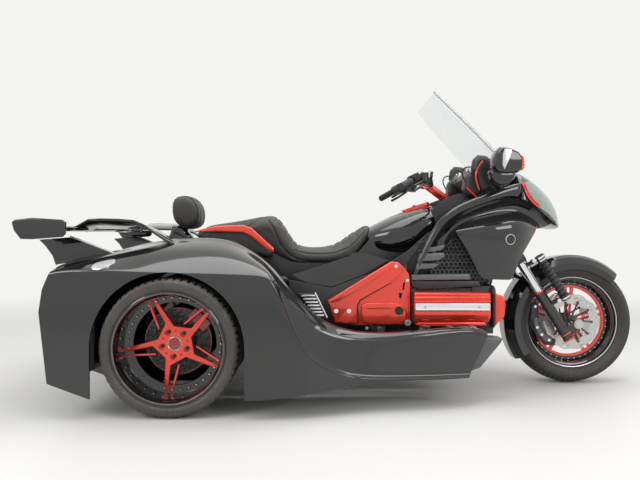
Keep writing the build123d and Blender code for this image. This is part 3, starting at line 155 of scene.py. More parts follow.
def makeFinishGroup():
    # smudges in the gloss, a film of dust that settles on what faces up, and worn edges
    group, given, made = newGroup(
        "finish",
        [("Colour", "NodeSocketColor", (0.5, 0.5, 0.5, 1)), ("Dust Colour", "NodeSocketColor", (0.4, 0.38, 0.35, 1)),
         ("Dust", "NodeSocketFloat", 0.1), ("Wear Colour", "NodeSocketColor", (0.6, 0.6, 0.6, 1)),
         ("Wear", "NodeSocketFloat", 0.1), ("Roughness", "NodeSocketFloat", 0.3),
         ("Smudge", "NodeSocketFloat", 0.1), ("Scale", "NodeSocketFloat", 6.0)],
        [("Colour", "NodeSocketColor"), ("Roughness", "NodeSocketFloat")])
    place = addNode(group, "TexCoord").outputs["Object"]
    broad = addNode(group, "TexNoise", Detail=5.0, Roughness=0.6)
    fine = addNode(group, "TexNoise", Detail=3.0, Roughness=0.7, Scale=90.0)
    group.links.new(place, broad.inputs["Vector"])
    group.links.new(place, fine.inputs["Vector"])
    group.links.new(given.outputs["Scale"], broad.inputs["Scale"])
    shape = addNode(group, "NewGeometry")
    upright = addNode(group, "SeparateXYZ")
    group.links.new(shape.outputs["Normal"], upright.inputs[0])
    top = addMath(group, "MULTIPLY", upright.outputs["Z"], 0.8, clamp=True)
    patch = addMath(group, "MULTIPLY", broad.outputs["Fac"], fine.outputs["Fac"])
    dusty = addMath(group, "MULTIPLY", addMath(group, "ADD", top, 0.15), patch)
    dusty = addMath(group, "MULTIPLY", addMath(group, "MULTIPLY", dusty, 3.0), given.outputs["Dust"], clamp=True)
    edge = addMath(group, "SUBTRACT", shape.outputs["Pointiness"], 0.53)
    edge = addMath(group, "MULTIPLY", edge, 14.0, clamp=True)
    chipped = addMath(group, "GREATER_THAN", fine.outputs["Fac"], 0.53)
    worn = addMath(group, "MULTIPLY", addMath(group, "MULTIPLY", edge, chipped), given.outputs["Wear"], clamp=True)
    dusted = addMix(group, dusty, given.outputs["Colour"], given.outputs["Dust Colour"])
    group.links.new(addMix(group, worn, dusted, given.outputs["Wear Colour"]), made.inputs["Colour"])
    rough = addMath(group, "MULTIPLY", broad.outputs["Fac"], given.outputs["Smudge"])
    rough = addMath(group, "ADD", rough, given.outputs["Roughness"])
    rough = addMath(group, "ADD", rough, addMath(group, "MULTIPLY", dusty, 0.5), clamp=True)
    group.links.new(rough, made.inputs["Roughness"])
    return group


def makeGrainGroup():
    # a fine height field: leather cells, cast metal or moulded plastic, by how much of each
    group, given, made = newGroup(
        "grain",
        [("Scale", "NodeSocketFloat", 300.0), ("Cells", "NodeSocketFloat", 0.5), ("Speckle", "NodeSocketFloat", 0.5)],
        [("Height", "NodeSocketFloat")])
    place = addNode(group, "TexCoord").outputs["Object"]
    cells = addNode(group, "TexVoronoi", {"feature": "DISTANCE_TO_EDGE"})
    speckle = addNode(group, "TexNoise", Detail=2.0)
    for texture in (cells, speckle):
        group.links.new(place, texture.inputs["Vector"])
        group.links.new(given.outputs["Scale"], texture.inputs["Scale"])
    raised = addMath(group, "MULTIPLY", addMath(group, "MULTIPLY", cells.outputs["Distance"], 3.0, clamp=True),
                     given.outputs["Cells"])
    spread = addMath(group, "MULTIPLY", speckle.outputs["Fac"], given.outputs["Speckle"])
    group.links.new(addMath(group, "ADD", raised, spread), made.inputs["Height"])
    return group


finish = makeFinishGroup()
grain = makeGrainGroup()

finishes = {  # colour, metallic, roughness, smudge, coat, dust, wear, wear colour, grain scale, cells, speckle, bump
    "glossBlack": ((0.004, 0.004, 0.0045), 0.0, 0.07, 0.03, 0.7, 0.05, 0.03, (0.2, 0.2, 0.2), 40, 0.0, 1.0, 0.004),
    "candyRed": ((0.80, 0.045, 0.018), 0.55, 0.22, 0.08, 1.0, 0.03, 0.10, (0.9, 0.35, 0.2), 240, 0.0, 1.0, 0.01),
    "satinBlack": ((0.016, 0.016, 0.017), 0.0, 0.38, 0.12, 0.0, 0.12, 0.20, (0.12, 0.12, 0.12), 700, 0.3, 0.7, 0.06),
    "chrome": ((0.78, 0.78, 0.80), 1.0, 0.05, 0.08, 0.0, 0.06, 0.0, (0.5, 0.5, 0.5), 60, 0.0, 1.0, 0.004),
    "brushedSteel": ((0.52, 0.51, 0.50), 1.0, 0.26, 0.18, 0.0, 0.12, 0.2, (0.7, 0.7, 0.7), 420, 0.0, 1.0, 0.04),
    "castDark": ((0.035, 0.035, 0.037), 0.5, 0.46, 0.15, 0.0, 0.25, 0.35, (0.3, 0.3, 0.3), 260, 0.2, 0.8, 0.12),
    "gripRubber": ((0.015, 0.015, 0.015), 0.0, 0.72, 0.12, 0.0, 0.20, 0.1, (0.1, 0.1, 0.1), 420, 0.5, 0.5, 0.12),
    "leather": ((0.022, 0.021, 0.020), 0.0, 0.40, 0.20, 0.0, 0.16, 0.2, (0.10, 0.09, 0.08), 330, 0.9, 0.4, 0.22),
    "leatherSeam": ((0.010, 0.010, 0.010), 0.0, 0.50, 0.10, 0.0, 0.10, 0.1, (0.08, 0.08, 0.08), 500, 0.4, 0.6, 0.1),
    "tyreRubber": ((0.026, 0.025, 0.024), 0.0, 0.70, 0.16, 0.0, 0.40, 0.2, (0.14, 0.12, 0.10), 160, 0.2, 0.8, 0.14),
    "tyreScuffed": ((0.042, 0.037, 0.033), 0.0, 0.78, 0.10, 0.0, 0.80, 0.2, (0.17, 0.135, 0.105), 90, 0.2, 0.8, 0.2),
    "silverTrim": ((0.62, 0.62, 0.63), 0.8, 0.24, 0.10, 0.0, 0.08, 0.1, (0.8, 0.8, 0.8), 120, 0.0, 1.0, 0.01),
    "darkMesh": ((0.012, 0.012, 0.013), 0.3, 0.50, 0.10, 0.0, 0.15, 0.2, (0.2, 0.2, 0.2), 300, 0.4, 0.6, 0.1),
    "greyTrim": ((0.12, 0.12, 0.125), 0.4, 0.34, 0.12, 0.0, 0.12, 0.2, (0.4, 0.4, 0.4), 300, 0.2, 0.6, 0.05),
    "deepRed": ((0.30, 0.012, 0.010), 0.3, 0.30, 0.10, 1.0, 0.05, 0.1, (0.6, 0.2, 0.15), 240, 0.0, 1.0, 0.01),
}


def addFinish(tree, colour, dust, wear, wearColour, roughness, smudge):
    shader = tree.nodes["Principled BSDF"]
    surface = addNode(tree, "Group", {"node_tree": finish}, Colour=(*colour, 1), Dust=dust, Wear=wear,
                      Wear_Colour=(*wearColour, 1), Roughness=roughness, Smudge=smudge)
    tree.links.new(surface.outputs["Colour"], shader.inputs["Base Color"])
    tree.links.new(surface.outputs["Roughness"], shader.inputs["Roughness"])
    return shader


def makeFinish(name):
    (colour, metallic, roughness, smudge, coat, dust, wear, wearColour, scale, cells, speckle,
     bumpStrength) = finishes[name]
    material = bpy.data.materials.new(name)
    material.use_nodes = True
    tree = material.node_tree
    shader = addFinish(tree, colour, dust, wear, wearColour, roughness, smudge)
    texture = addNode(tree, "Group", {"node_tree": grain}, Scale=scale, Cells=cells, Speckle=speckle)
    bump = addNode(tree, "Bump", Strength=bumpStrength, Distance=gloss["bumpDistance"])
    tree.links.new(texture.outputs["Height"], bump.inputs["Height"])
    tree.links.new(bump.outputs["Normal"], shader.inputs["Normal"])
    shader.inputs["Metallic"].default_value = metallic
    shader.inputs["Coat Weight"].default_value = coat
    shader.inputs["Coat Roughness"].default_value = gloss["coatRoughness"]
    return material


def makeGlass(name):
    colour, transmission, refraction = glasses[name]
    material = bpy.data.materials.new(name)
    material.use_nodes = True
    shader = addFinish(material.node_tree, colour, glassWear["dust"], glassWear["wear"], glassWear["wearColour"],
                       glassWear["roughness"], glassWear["smudge"])
    shader.inputs["Transmission Weight"].default_value = transmission
    shader.inputs["IOR"].default_value = refraction
    return material


materials = {name: makeFinish(name) for name in finishes}
materials.update({name: makeGlass(name) for name in glasses})


def makeWorld():
    # the camera, metal and glass all see the pale background; all else is lit by the weaker light
    world = bpy.data.worlds.new("studio")
    bpy.context.scene.world = world
    world.use_nodes = True
    tree = world.node_tree
    tree.nodes.clear()
    rays = addNode(tree, "LightPath").outputs
    through = addMath(tree, "MAXIMUM", rays["Is Camera Ray"], rays["Is Transmission Ray"])
    sees = addMath(tree, "MAXIMUM", through, rays["Is Glossy Ray"])
    pale = addNode(tree, "Background", Color=(*studio["shown"], 1))
    light = addNode(tree, "Background", Color=(*studio["light"], 1), Strength=studio["lightStrength"])
    blend = addNode(tree, "MixShader")
    for start, end in ((sees, blend.inputs[0]), (light.outputs[0], blend.inputs[1]), (pale.outputs[0], blend.inputs[2]),
                       (blend.outputs[0], addNode(tree, "OutputWorld").inputs["Surface"])):
        tree.links.new(start, end)


def makeFloor():
    material = bpy.data.materials.new("paleFloor")
    material.use_nodes = True
    tree = material.node_tree
    shader = tree.nodes["Principled BSDF"]
    shader.inputs["Roughness"].default_value = floor["roughness"]
    place = addNode(tree, "TexCoord").outputs["Object"]
    patches = addNode(tree, "TexNoise", Scale=floor["patches"], Detail=4.0)
    ramp = addNode(tree, "ValToRGB")
    ramp.color_ramp.elements[0].color = (*floor["dark"], 1)
    ramp.color_ramp.elements[1].color = (*floor["pale"], 1)
    away = addNode(tree, "VectorMath", {"operation": "LENGTH"})
    fade = addNode(tree, "MapRange", {"interpolation_type": "SMOOTHSTEP"}, From_Min=floor["fadeFrom"],
                   From_Max=floor["fadeTo"])
    blend = addNode(tree, "MixShader")
    for start, end in ((place, patches.inputs["Vector"]), (patches.outputs["Fac"], ramp.inputs["Fac"]),
                       (ramp.outputs["Color"], shader.inputs["Base Color"]), (place, away.inputs[0]),
                       (away.outputs["Value"], fade.inputs["Value"]), (fade.outputs["Result"], blend.inputs[0]),
                       (shader.outputs["BSDF"], blend.inputs[1]),
                       (addNode(tree, "BsdfTransparent").outputs["BSDF"], blend.inputs[2]),
                       (blend.outputs["Shader"], tree.nodes["Material Output"].inputs["Surface"])):
        tree.links.new(start, end)
    materials["paleFloor"] = material
    disc = bmesh.new()
    bmesh.ops.create_circle(disc, cap_ends=True, segments=96, radius=floor["radius"])
    finishMesh("floor", disc, "paleFloor", 180)


# helpers that make and finish a piece

def makeObject(name, mesh):
    thing = bpy.data.objects.new(name, mesh)
    bpy.context.scene.collection.objects.link(thing)
    return thing


def meshOf(name, work):
    # a mesh from a bmesh, which is let go
    mesh = bpy.data.meshes.new(name)
    work.to_mesh(mesh)
    work.free()
    return mesh


def workOf(mesh):
    # a bmesh from a mesh, which is removed
    work = bmesh.new()
    work.from_mesh(mesh)
    bpy.data.meshes.remove(mesh)
    return work


def finishMesh(name, work, material, smoothAngle=35):
    # shaded smooth but for its sharp edges; material is one finish or a list of them
    for edge in work.edges:
        if len(edge.link_faces) == 2 and edge.calc_face_angle(0) > math.radians(smoothAngle):
            edge.smooth = False
    for face in work.faces:
        face.smooth = True
    mesh = meshOf(name, work)
    for item in [material] if isinstance(material, str) else material:
        mesh.materials.append(materials[item])
    return makeObject(name, mesh)


makeWorld()
makeFloor()
print("camera, light and materials made")


# shaping helpers

def loft(sections):
    # one skin through closed outlines that have the same number of points
    work = bmesh.new()
    ring = [work.verts.new(point) for point in sections[0]]
    edges = [work.edges.new((ring[i], ring[(i + 1) % len(ring)])) for i in range(len(ring))]
    first = list(ring)
    for section in sections[1:]:
        grown = bmesh.ops.extrude_edge_only(work, edges=edges)["geom"]
        fresh = set(vertsOf(grown))
        following = []
        for vert, point in zip(ring, section):
            partner = next(edge.other_vert(vert) for edge in vert.link_edges if edge.other_vert(vert) in fresh)
            partner.co = point
            following.append(partner)
        ring = following
        edges = [work.edges.get((ring[i], ring[(i + 1) % len(ring)])) for i in range(len(ring))]
    work.faces.new(first)
    work.faces.new(ring)
    bmesh.ops.recalc_face_normals(work, faces=work.faces)
    return work


def middleOf(outline):
    return tuple(sum(point[axis] for point in outline) / len(outline) for axis in range(2))


def wholeSection(x, top, right, foot):
    # a closed section across the trike, from its right half
    left = [(-out, up) for out, up in reversed(right)]
    return [Vector((x, -out, up)) for out, up in [(0, top)] + right + [(0, foot)] + left]


def creaseWhere(work, test, weight=1.0):
    layer = work.edges.layers.float.get("crease_edge") or work.edges.layers.float.new("crease_edge")
    for edge in work.edges:
        if test(edge):
            edge[layer] = weight


def worked(work, *modifiers):
    # the bmesh after modifiers, each a type and its settings
    mesh = meshOf("working", work)
    holder = makeObject("working", mesh)
    for kind, settings in modifiers:
        modifier = holder.modifiers.new(kind, kind)
        for key, value in settings.items():
            setattr(modifier, key, value)
    bpy.context.view_layer.update()
    result = bpy.data.meshes.new_from_object(holder.evaluated_get(bpy.context.evaluated_depsgraph_get()))
    bpy.data.objects.remove(holder)
    bpy.data.meshes.remove(mesh)
    return workOf(result)


def smoothed(work, levels=2):
    return worked(work, ("SUBSURF", {"levels": levels, "render_levels": levels}))


def eased(work, width, segments=3, fromAngle=14):
    # edges sharper than an angle rounded off
    sharp = [edge for edge in work.edges
             if len(edge.link_faces) == 2 and edge.calc_face_angle(0) > math.radians(fromAngle)]
    bmesh.ops.bevel(work, geom=sharp, offset=width, offset_type="OFFSET", segments=segments, profile=0.5,
                    affect="EDGES", material=-1, clamp_overlap=True)
    return work


def without(work, cutters):
    # the bmesh less other closed bmeshes
    for cutter in cutters:
        bmesh.ops.recalc_face_normals(cutter, faces=cutter.faces)
        tool = makeObject("cutter", meshOf("cutter", cutter))
        work = worked(work, ("BOOLEAN", {"object": tool, "operation": "DIFFERENCE", "solver": "EXACT"}))
        bpy.data.objects.remove(tool)
    return work


sides = ((-1, "right"), (1, "left"))


def vertsOf(geom):
    return [item for item in geom if isinstance(item, bmesh.types.BMVert)]


def flipped(work):
    # the shape turned over to the other side of the centre plane
    bmesh.ops.scale(work, vec=(1, -1, 1), verts=work.verts)
    bmesh.ops.reverse_faces(work, faces=work.faces)
    return work


def bothSides(work):
    # the same shape again on the other side of the centre plane
    again = bmesh.ops.duplicate(work, geom=work.verts[:] + work.edges[:] + work.faces[:])["geom"]
    verts = vertsOf(again)
    faces = [item for item in again if isinstance(item, bmesh.types.BMFace)]
    bmesh.ops.scale(work, vec=(1, -1, 1), verts=verts)
    bmesh.ops.reverse_faces(work, faces=faces)
    return work


def thickened(work, shift):
    # the faces drawn out by a shift into a closed body
    grown = bmesh.ops.extrude_face_region(work, geom=work.faces[:])["geom"]
    bmesh.ops.translate(work, vec=shift, verts=vertsOf(grown))
    bmesh.ops.recalc_face_normals(work, faces=work.faces)
    return work


def plate(outline, inner, outer, bevelWidth=0.0, segments=2):
    # an outline of (x, z) as a slab between two distances along Y, its rims eased
    work = bmesh.new()
    work.faces.new([work.verts.new((x, inner, z)) for x, z in outline])
    thickened(work, (0, outer - inner, 0))
    if bevelWidth:
        rims = [edge for edge in work.edges if abs(edge.verts[0].co.y - edge.verts[1].co.y) < 0.0001]
        bmesh.ops.bevel(work, geom=rims, offset=bevelWidth, offset_type="OFFSET", segments=segments,
                        profile=0.5, affect="EDGES", material=-1, clamp_overlap=True)
    return work


def joined(*works):
    # several bmeshes as one
    total = works[0]
    for work in works[1:]:
        mesh = meshOf("joining", work)
        total.from_mesh(mesh)
        bpy.data.meshes.remove(mesh)
    return total


def moved(work, matrix):
    bmesh.ops.transform(work, matrix=matrix, verts=work.verts)
    return work


def rodBetween(start, end, radius, segments=24, endRadius=None):
    start, end = Vector(start), Vector(end)
    work = bmesh.new()
    bmesh.ops.create_cone(work, cap_ends=True, segments=segments, radius1=radius,
                          radius2=radius if endRadius is None else endRadius, depth=(end - start).length)
    turn = (end - start).to_track_quat("Z", "Y").to_matrix().to_4x4()
    return moved(work, Matrix.Translation((start + end) / 2) @ turn)


def crossRod(x, z, start, end, *more):
    # a rod along Y
    return rodBetween((x, start, z), (x, end, z), *more)


def tube(name, points, radius, material, body):
    # a round tube along points
    curve = bpy.data.curves.new(name, "CURVE")
    curve.dimensions = "3D"
    curve.bevel_depth = radius
    curve.bevel_resolution = 5
    curve.resolution_u = 10
    curve.use_fill_caps = True
    line = curve.splines.new("NURBS")
    line.points.add(len(points) - 1)
    for point, place in zip(line.points, points):
        point.co = (*place, 1)
    line.order_u = 3
    line.use_endpoint_u = True
    curve.materials.append(materials[material])
    piece = makeObject(name, curve)
    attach(piece, body)
    return piece


def shown(name, work, material, body, replaces=(), smoothAngle=35):
    piece = finishMesh(name, work, material, smoothAngle)
    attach(piece, body)
    if replaces:
        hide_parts(*replaces)
    return piece


def paired(name, work, material, replaces=(), smoothAngle=35, body="chassis"):
    # a piece and its twin on the other side
    return shown(name, bothSides(work), material, body, replaces, smoothAngle)


# rear bodywork: a fender over each wheel that runs on into the low pod

bodySide = {
    "inner": 0.344,  # nearest to the centre plane
    "wall": 0.011,
    "archRadius": 0.324,
    "archDepth": 0.4,  # well past the outer face and below the foot
    "wheelPlace": (-0.818, 0.298),
    "wheelOut": 0.560,
    "endEdges": 0.35, "shoulderEdge": 0.55, "shoulderFrom": -0.42,  # how sharp, and from which x
    "smoothAngle": 28,
    # the small tip that ends the crease: x, up and half height
    "tip": [(-0.082, 0.176, 0.006), (-0.052, 0.170, 0.010), (-0.020, 0.163, 0.011), (0.002, 0.156, 0.007)],
    "tipOut": [0.655, 0.635, 0.635, 0.635],
    "tipFlat": 0.45,
    # x, inner up, crest out, crest up, valley out, valley up, crease out, crease up, foot up
    "rows": [
        (-1.372, 0.634, 0.440, 0.644, 0.600, 0.634, 0.716, 0.602, 0.085),
        (-1.260, 0.655, 0.443, 0.672, 0.600, 0.672, 0.722, 0.634, 0.085),
        (-1.133, 0.684, 0.445, 0.702, 0.600, 0.694, 0.725, 0.632, 0.085),
        (-0.985, 0.730, 0.441, 0.745, 0.600, 0.716, 0.7285, 0.626, 0.085),
        (-0.843, 0.756, 0.436, 0.768, 0.600, 0.724, 0.7285, 0.621, 0.085),
        (-0.690, 0.762, 0.436, 0.772, 0.604, 0.722, 0.7285, 0.619, 0.085),
        (-0.575, 0.745, 0.448, 0.758, 0.612, 0.708, 0.7275, 0.616, 0.085),
        (-0.470, 0.680, 0.476, 0.700, 0.634, 0.680, 0.727, 0.612, 0.085),
        (-0.410, 0.620, 0.508, 0.655, 0.668, 0.640, 0.7255, 0.606, 0.086),
        (-0.372, 0.570, 0.524, 0.618, 0.694, 0.592, 0.7245, 0.584, 0.090),
        (-0.336, 0.520, 0.542, 0.574, 0.694, 0.535, 0.7225, 0.492, 0.096),
        (-0.262, 0.425, 0.560, 0.488, 0.672, 0.450, 0.7185, 0.310, 0.101),
        (-0.205, 0.370, 0.567, 0.434, 0.650, 0.398, 0.700, 0.252, 0.108),
        (-0.140, 0.330, 0.568, 0.390, 0.632, 0.358, 0.678, 0.210, 0.114),
        (-0.050, 0.300, 0.564, 0.358, 0.614, 0.326, 0.645, 0.168, 0.124),
        (0.080, 0.286, 0.556, 0.346, 0.596, 0.312, 0.612, 0.155, 0.135),
        (0.220, 0.292, 0.542, 0.352, 0.576, 0.312, 0.588, 0.152, 0.138),
        (0.360, 0.303, 0.526, 0.363, 0.556, 0.318, 0.566, 0.150, 0.134),
        (0.480, 0.310, 0.508, 0.370, 0.534, 0.320, 0.542, 0.150, 0.136),
        (0.560, 0.300, 0.486, 0.360, 0.512, 0.312, 0.520, 0.150, 0.138),
        (0.660, 0.240, 0.452, 0.300, 0.474, 0.230, 0.480, 0.150, 0.138),
    ],
    # straight cuts seen from the side: a point on the cut and the way that is cut off
    "rearCuts": [((-1.127, 0.085), (-0.34, -0.94)), ((-1.321, 0.156), (-0.994, -0.108)),
                 ((-1.352, 0.465), (-0.988, 0.155)), ((-1.343, 0.540), (-0.92, 0.39))],
    "frontCuts": [((0.492, 0.139), (0.889, -0.457)), ((0.546, 0.242), (0.91, -0.415))],
}


def bodySection(row):
    x, innerUp, crestOut, crestUp, valleyOut, valleyUp, creaseOut, creaseUp, footUp = row
    inner = bodySide["inner"]
    return [Vector((x, -out, up)) for out, up in [
        (inner, footUp), (inner, innerUp), (crestOut - 0.035, crestUp - 0.012), (crestOut, crestUp),
        (crestOut + 0.03, crestUp - 0.016), (valleyOut, valleyUp), (creaseOut - 0.012, creaseUp + 0.006),
        (creaseOut, creaseUp - 0.006), (creaseOut, (creaseUp + footUp) / 2), (creaseOut - 0.004, footUp)]]


def makeBodySide(side, name):
    rows = bodySide["rows"]
    work = loft([bodySection(row) for row in rows])
    ends = {round(rows[0][0], 4), round(rows[-1][0], 4)}

    # each vert is numbered by its place in its section
    order = {}
    for row in rows:
        for place, point in enumerate(bodySection(row)):
            order[tuple(round(value, 5) for value in point)] = place
    for vert in work.verts:
        vert.index = order[tuple(round(value, 5) for value in vert.co)]

    def alongRow(edge, places):
        return edge.verts[0].index == edge.verts[1].index and edge.verts[0].index in places
    creaseWhere(work, lambda edge: alongRow(edge, (0, 1, 9)))
    creaseWhere(work, lambda edge: all(round(vert.co.x, 4) in ends for vert in edge.verts))
    creaseWhere(work, lambda edge: alongRow(edge, (6, 7)), bodySide["endEdges"])
    creaseWhere(work, lambda edge: alongRow(edge, (5,))
                and all(vert.co.x > bodySide["shoulderFrom"] for vert in edge.verts), bodySide["shoulderEdge"])
    work = smoothed(work, 3)
    for (x, z), (nx, nz) in bodySide["rearCuts"] + bodySide["frontCuts"]:
        bmesh.ops.bisect_plane(work, geom=work.verts[:] + work.edges[:] + work.faces[:], dist=0.00001,
                               plane_co=(x, 0, z), plane_no=(nx, 0, nz), clear_outer=True)
        bmesh.ops.holes_fill(work, edges=[edge for edge in work.edges if edge.is_boundary], sides=0)
    bmesh.ops.recalc_face_normals(work, faces=work.faces)
    x, z = bodySide["wheelPlace"]
    out, radius, depth = bodySide["wheelOut"], bodySide["archRadius"], bodySide["archDepth"]
    arch = moved(crossRod(0, 0, 0, -depth, radius, 96), Matrix.Translation((x, -out, z)))
    below = plate([(x - radius, -0.1), (x + radius, -0.1), (x + radius, z), (x - radius, z)], -out, -out - depth)
    hollow = loft([bodyHollow(row) for row in rows[1:-1]])
    work = without(work, [hollow, arch, below])
    if side > 0:
        flipped(work)
    shown("body_" + name, work, "glossBlack", "chassis", ["fender_" + name, "pod_" + name],
          smoothAngle=bodySide["smoothAngle"])


def bodyHollow(row):
    # the inside of one section, a wall's thickness in and open below
    x, innerUp, crestOut, crestUp, valleyOut, valleyUp, creaseOut, creaseUp, footUp = row
    wall = bodySide["wall"]
    inner = bodySide["inner"] + wall
    return [Vector((x, -out, up)) for out, up in [
        (inner, footUp - 0.05), (inner, innerUp - 0.03), (crestOut, crestUp - 0.05),
        (valleyOut - 0.01, valleyUp - 0.045), (creaseOut - wall - 0.02, creaseUp - 0.05),
        (creaseOut - wall, creaseUp - 0.08), (creaseOut - wall - 0.004, footUp - 0.05)]]


def makeCreaseTips():
    turns = [math.tau * step / 12 for step in range(12)]
    tip = loft([[Vector((x, -out - size * bodySide["tipFlat"] * math.cos(turn), up + size * math.sin(turn)))
                 for turn in turns] for (x, up, size), out in zip(bodySide["tip"], bodySide["tipOut"])])
    paired("crease_tips", smoothed(tip, 1), "glossBlack")


for side, name in sides:
    makeBodySide(side, name)
makeCreaseTips()
print("body sides made")


# wheels: each is made about its own middle with the outer face towards -Y, then put in place

def spunProfile(profile, steps):
    # a profile of (radius, distance outwards), in millimetres, turned about the Y axis
    work = bmesh.new()
    verts = [work.verts.new((radius / 1000, -along / 1000, 0)) for radius, along in profile]
    edges = [work.edges.new((verts[i], verts[(i + 1) % len(verts)])) for i in range(len(verts))]
    bmesh.ops.spin(work, geom=verts + edges, cent=(0, 0, 0), axis=(0, 1, 0), dvec=(0, 0, 0),
                   angle=math.tau, steps=steps, use_merge=True, use_duplicate=False)
    bmesh.ops.remove_doubles(work, verts=work.verts, dist=0.00001)
    bmesh.ops.recalc_face_normals(work, faces=work.faces)
    return work


def cutTread(work, steps, every, wide, fromOut, depth):
    # cross grooves over the shoulders, by where a face lies round the tyre and along its width
    low, high, inner = fromOut
    grooves = []
    for face in work.faces:
        middle = face.calc_center_median()
        turn = math.atan2(middle.z, middle.x) % math.tau
        column = int(turn / math.tau * steps)
        radius = math.hypot(middle.x, middle.z)
        if column % every < wide and low < abs(middle.y) < high and radius > inner:
            grooves.append(face)
    bmesh.ops.inset_region(work, faces=grooves, thickness=0.0008, depth=-depth, use_even_offset=True)


def mirroredProfile(half):
    return [(radius, -along) for radius, along in reversed(half)]


def studs(radius, along, count, size):
    # low round heads in a ring
    work = bmesh.new()
    for index in range(count):
        turn = math.tau * index / count
        place = Matrix.Translation((radius * math.cos(turn), -along, radius * math.sin(turn)))
        head = bmesh.ops.create_cone(work, cap_ends=True, segments=10, radius1=size, radius2=size * 0.55,
                                     depth=size, matrix=place @ Matrix.Rotation(math.radians(90), 4, "X"))["verts"]
        bmesh.ops.recalc_face_normals(work, faces=list({face for vert in head for face in vert.link_faces}))
    return work


def barrelStuds(radius, along, count, size, turnFrom):
    # the same heads standing on the inside of a barrel
    work = bmesh.new()
    for index in range(count):
        turn = math.tau * (index + turnFrom) / count
        place = Matrix.Rotation(-turn, 4, "Y") @ Matrix.Translation((radius, -along, 0))
        bmesh.ops.create_cone(work, cap_ends=True, segments=10, radius1=size * 0.55, radius2=size,
                              depth=size, matrix=place @ Matrix.Rotation(math.radians(90), 4, "Y"))
    return work


def polar(radius, turn):
    return (radius * math.cos(math.radians(turn)), radius * math.sin(math.radians(turn)))


rearWheel = {
    "place": (-0.818, 0.572, 0.298),
    "steps": 180,
    "tread": (3, 1, (0.075, 0.131, 0.286), 0.005),  # one column in three, where from and to and how high, depth
    "scuffed": (0.253, 0.291, 0.118),  # radii, and how far from the middle
    "tyre": [(236, -122), (242, -129), (245, -133), (248, -132.5), (251, -134.5), (264, -136.8), (279, -135),
             (288, -128), (293.5, -119), (296.5, -106), (297.6, -72), (291, -71), (291, -62), (297.8, -61),
             (298, -26), (291, -25), (291, -16), (298, -15)],
    "lip": [(231.5, 130.2), (232.6, 133.6), (236, 135.4), (235.6, 135.9), (231.8, 134.2), (230.6, 130.6)],
    "rim": [(242, 129), (241.5, 133), (238, 135), (233.5, 134), (231, 129), (228.5, 121), (225, 116), (224, 44),
            (223, 4), (221, 0), (211, -3), (190, -4), (184, -6), (183, -14), (190, -19), (205, -24), (205, -108),
            (212, -116), (214, -129), (218, -133), (236, -133), (239, -130), (236, -124), (220, -120), (220, 100),
            (232, 122)],
    "star": [(78, 21), (219.5, 41), (219.5, 46), (98.5, 43.3)],  # radius and angle, for each spoke
    "thinBar": [(96, 62.0), (219.5, 48.7), (219.5, 51.5), (93, 68.2)],
    "spokes": 5, "spokeBack": 0.026, "spokeEdge": 0.004, "thinFace": 0.0005, "thinEdge": 0.002,
    "lugs": {"ring": 0.058, "radius": 0.0155, "turn": 120.5, "floor": 0.014},
    "pins": {"ring": 0.056, "radius": 0.0045},
    "hubBack": [(0, -72), (60, -72), (84, -60), (84, -26), (78, -20), (0, -20)],
    "capRing": [(26.5, 2), (27.5, 5), (29, 6), (30.8, 5), (31.5, 2), (31.5, -3), (26.5, -3)],
    "capFace": [(0, 4), (15, 3.6), (26, 2), (26.6, -2), (0, -2)],
    "discEdge": [(147, -74), (150.5, -74), (151, -75), (151, -89), (150.5, -90), (147, -90)],
    "rivets": {"count": 35, "size": 0.0042, "face": (0.203, 0.005), "barrel": (0.2225, 0.050)},
}


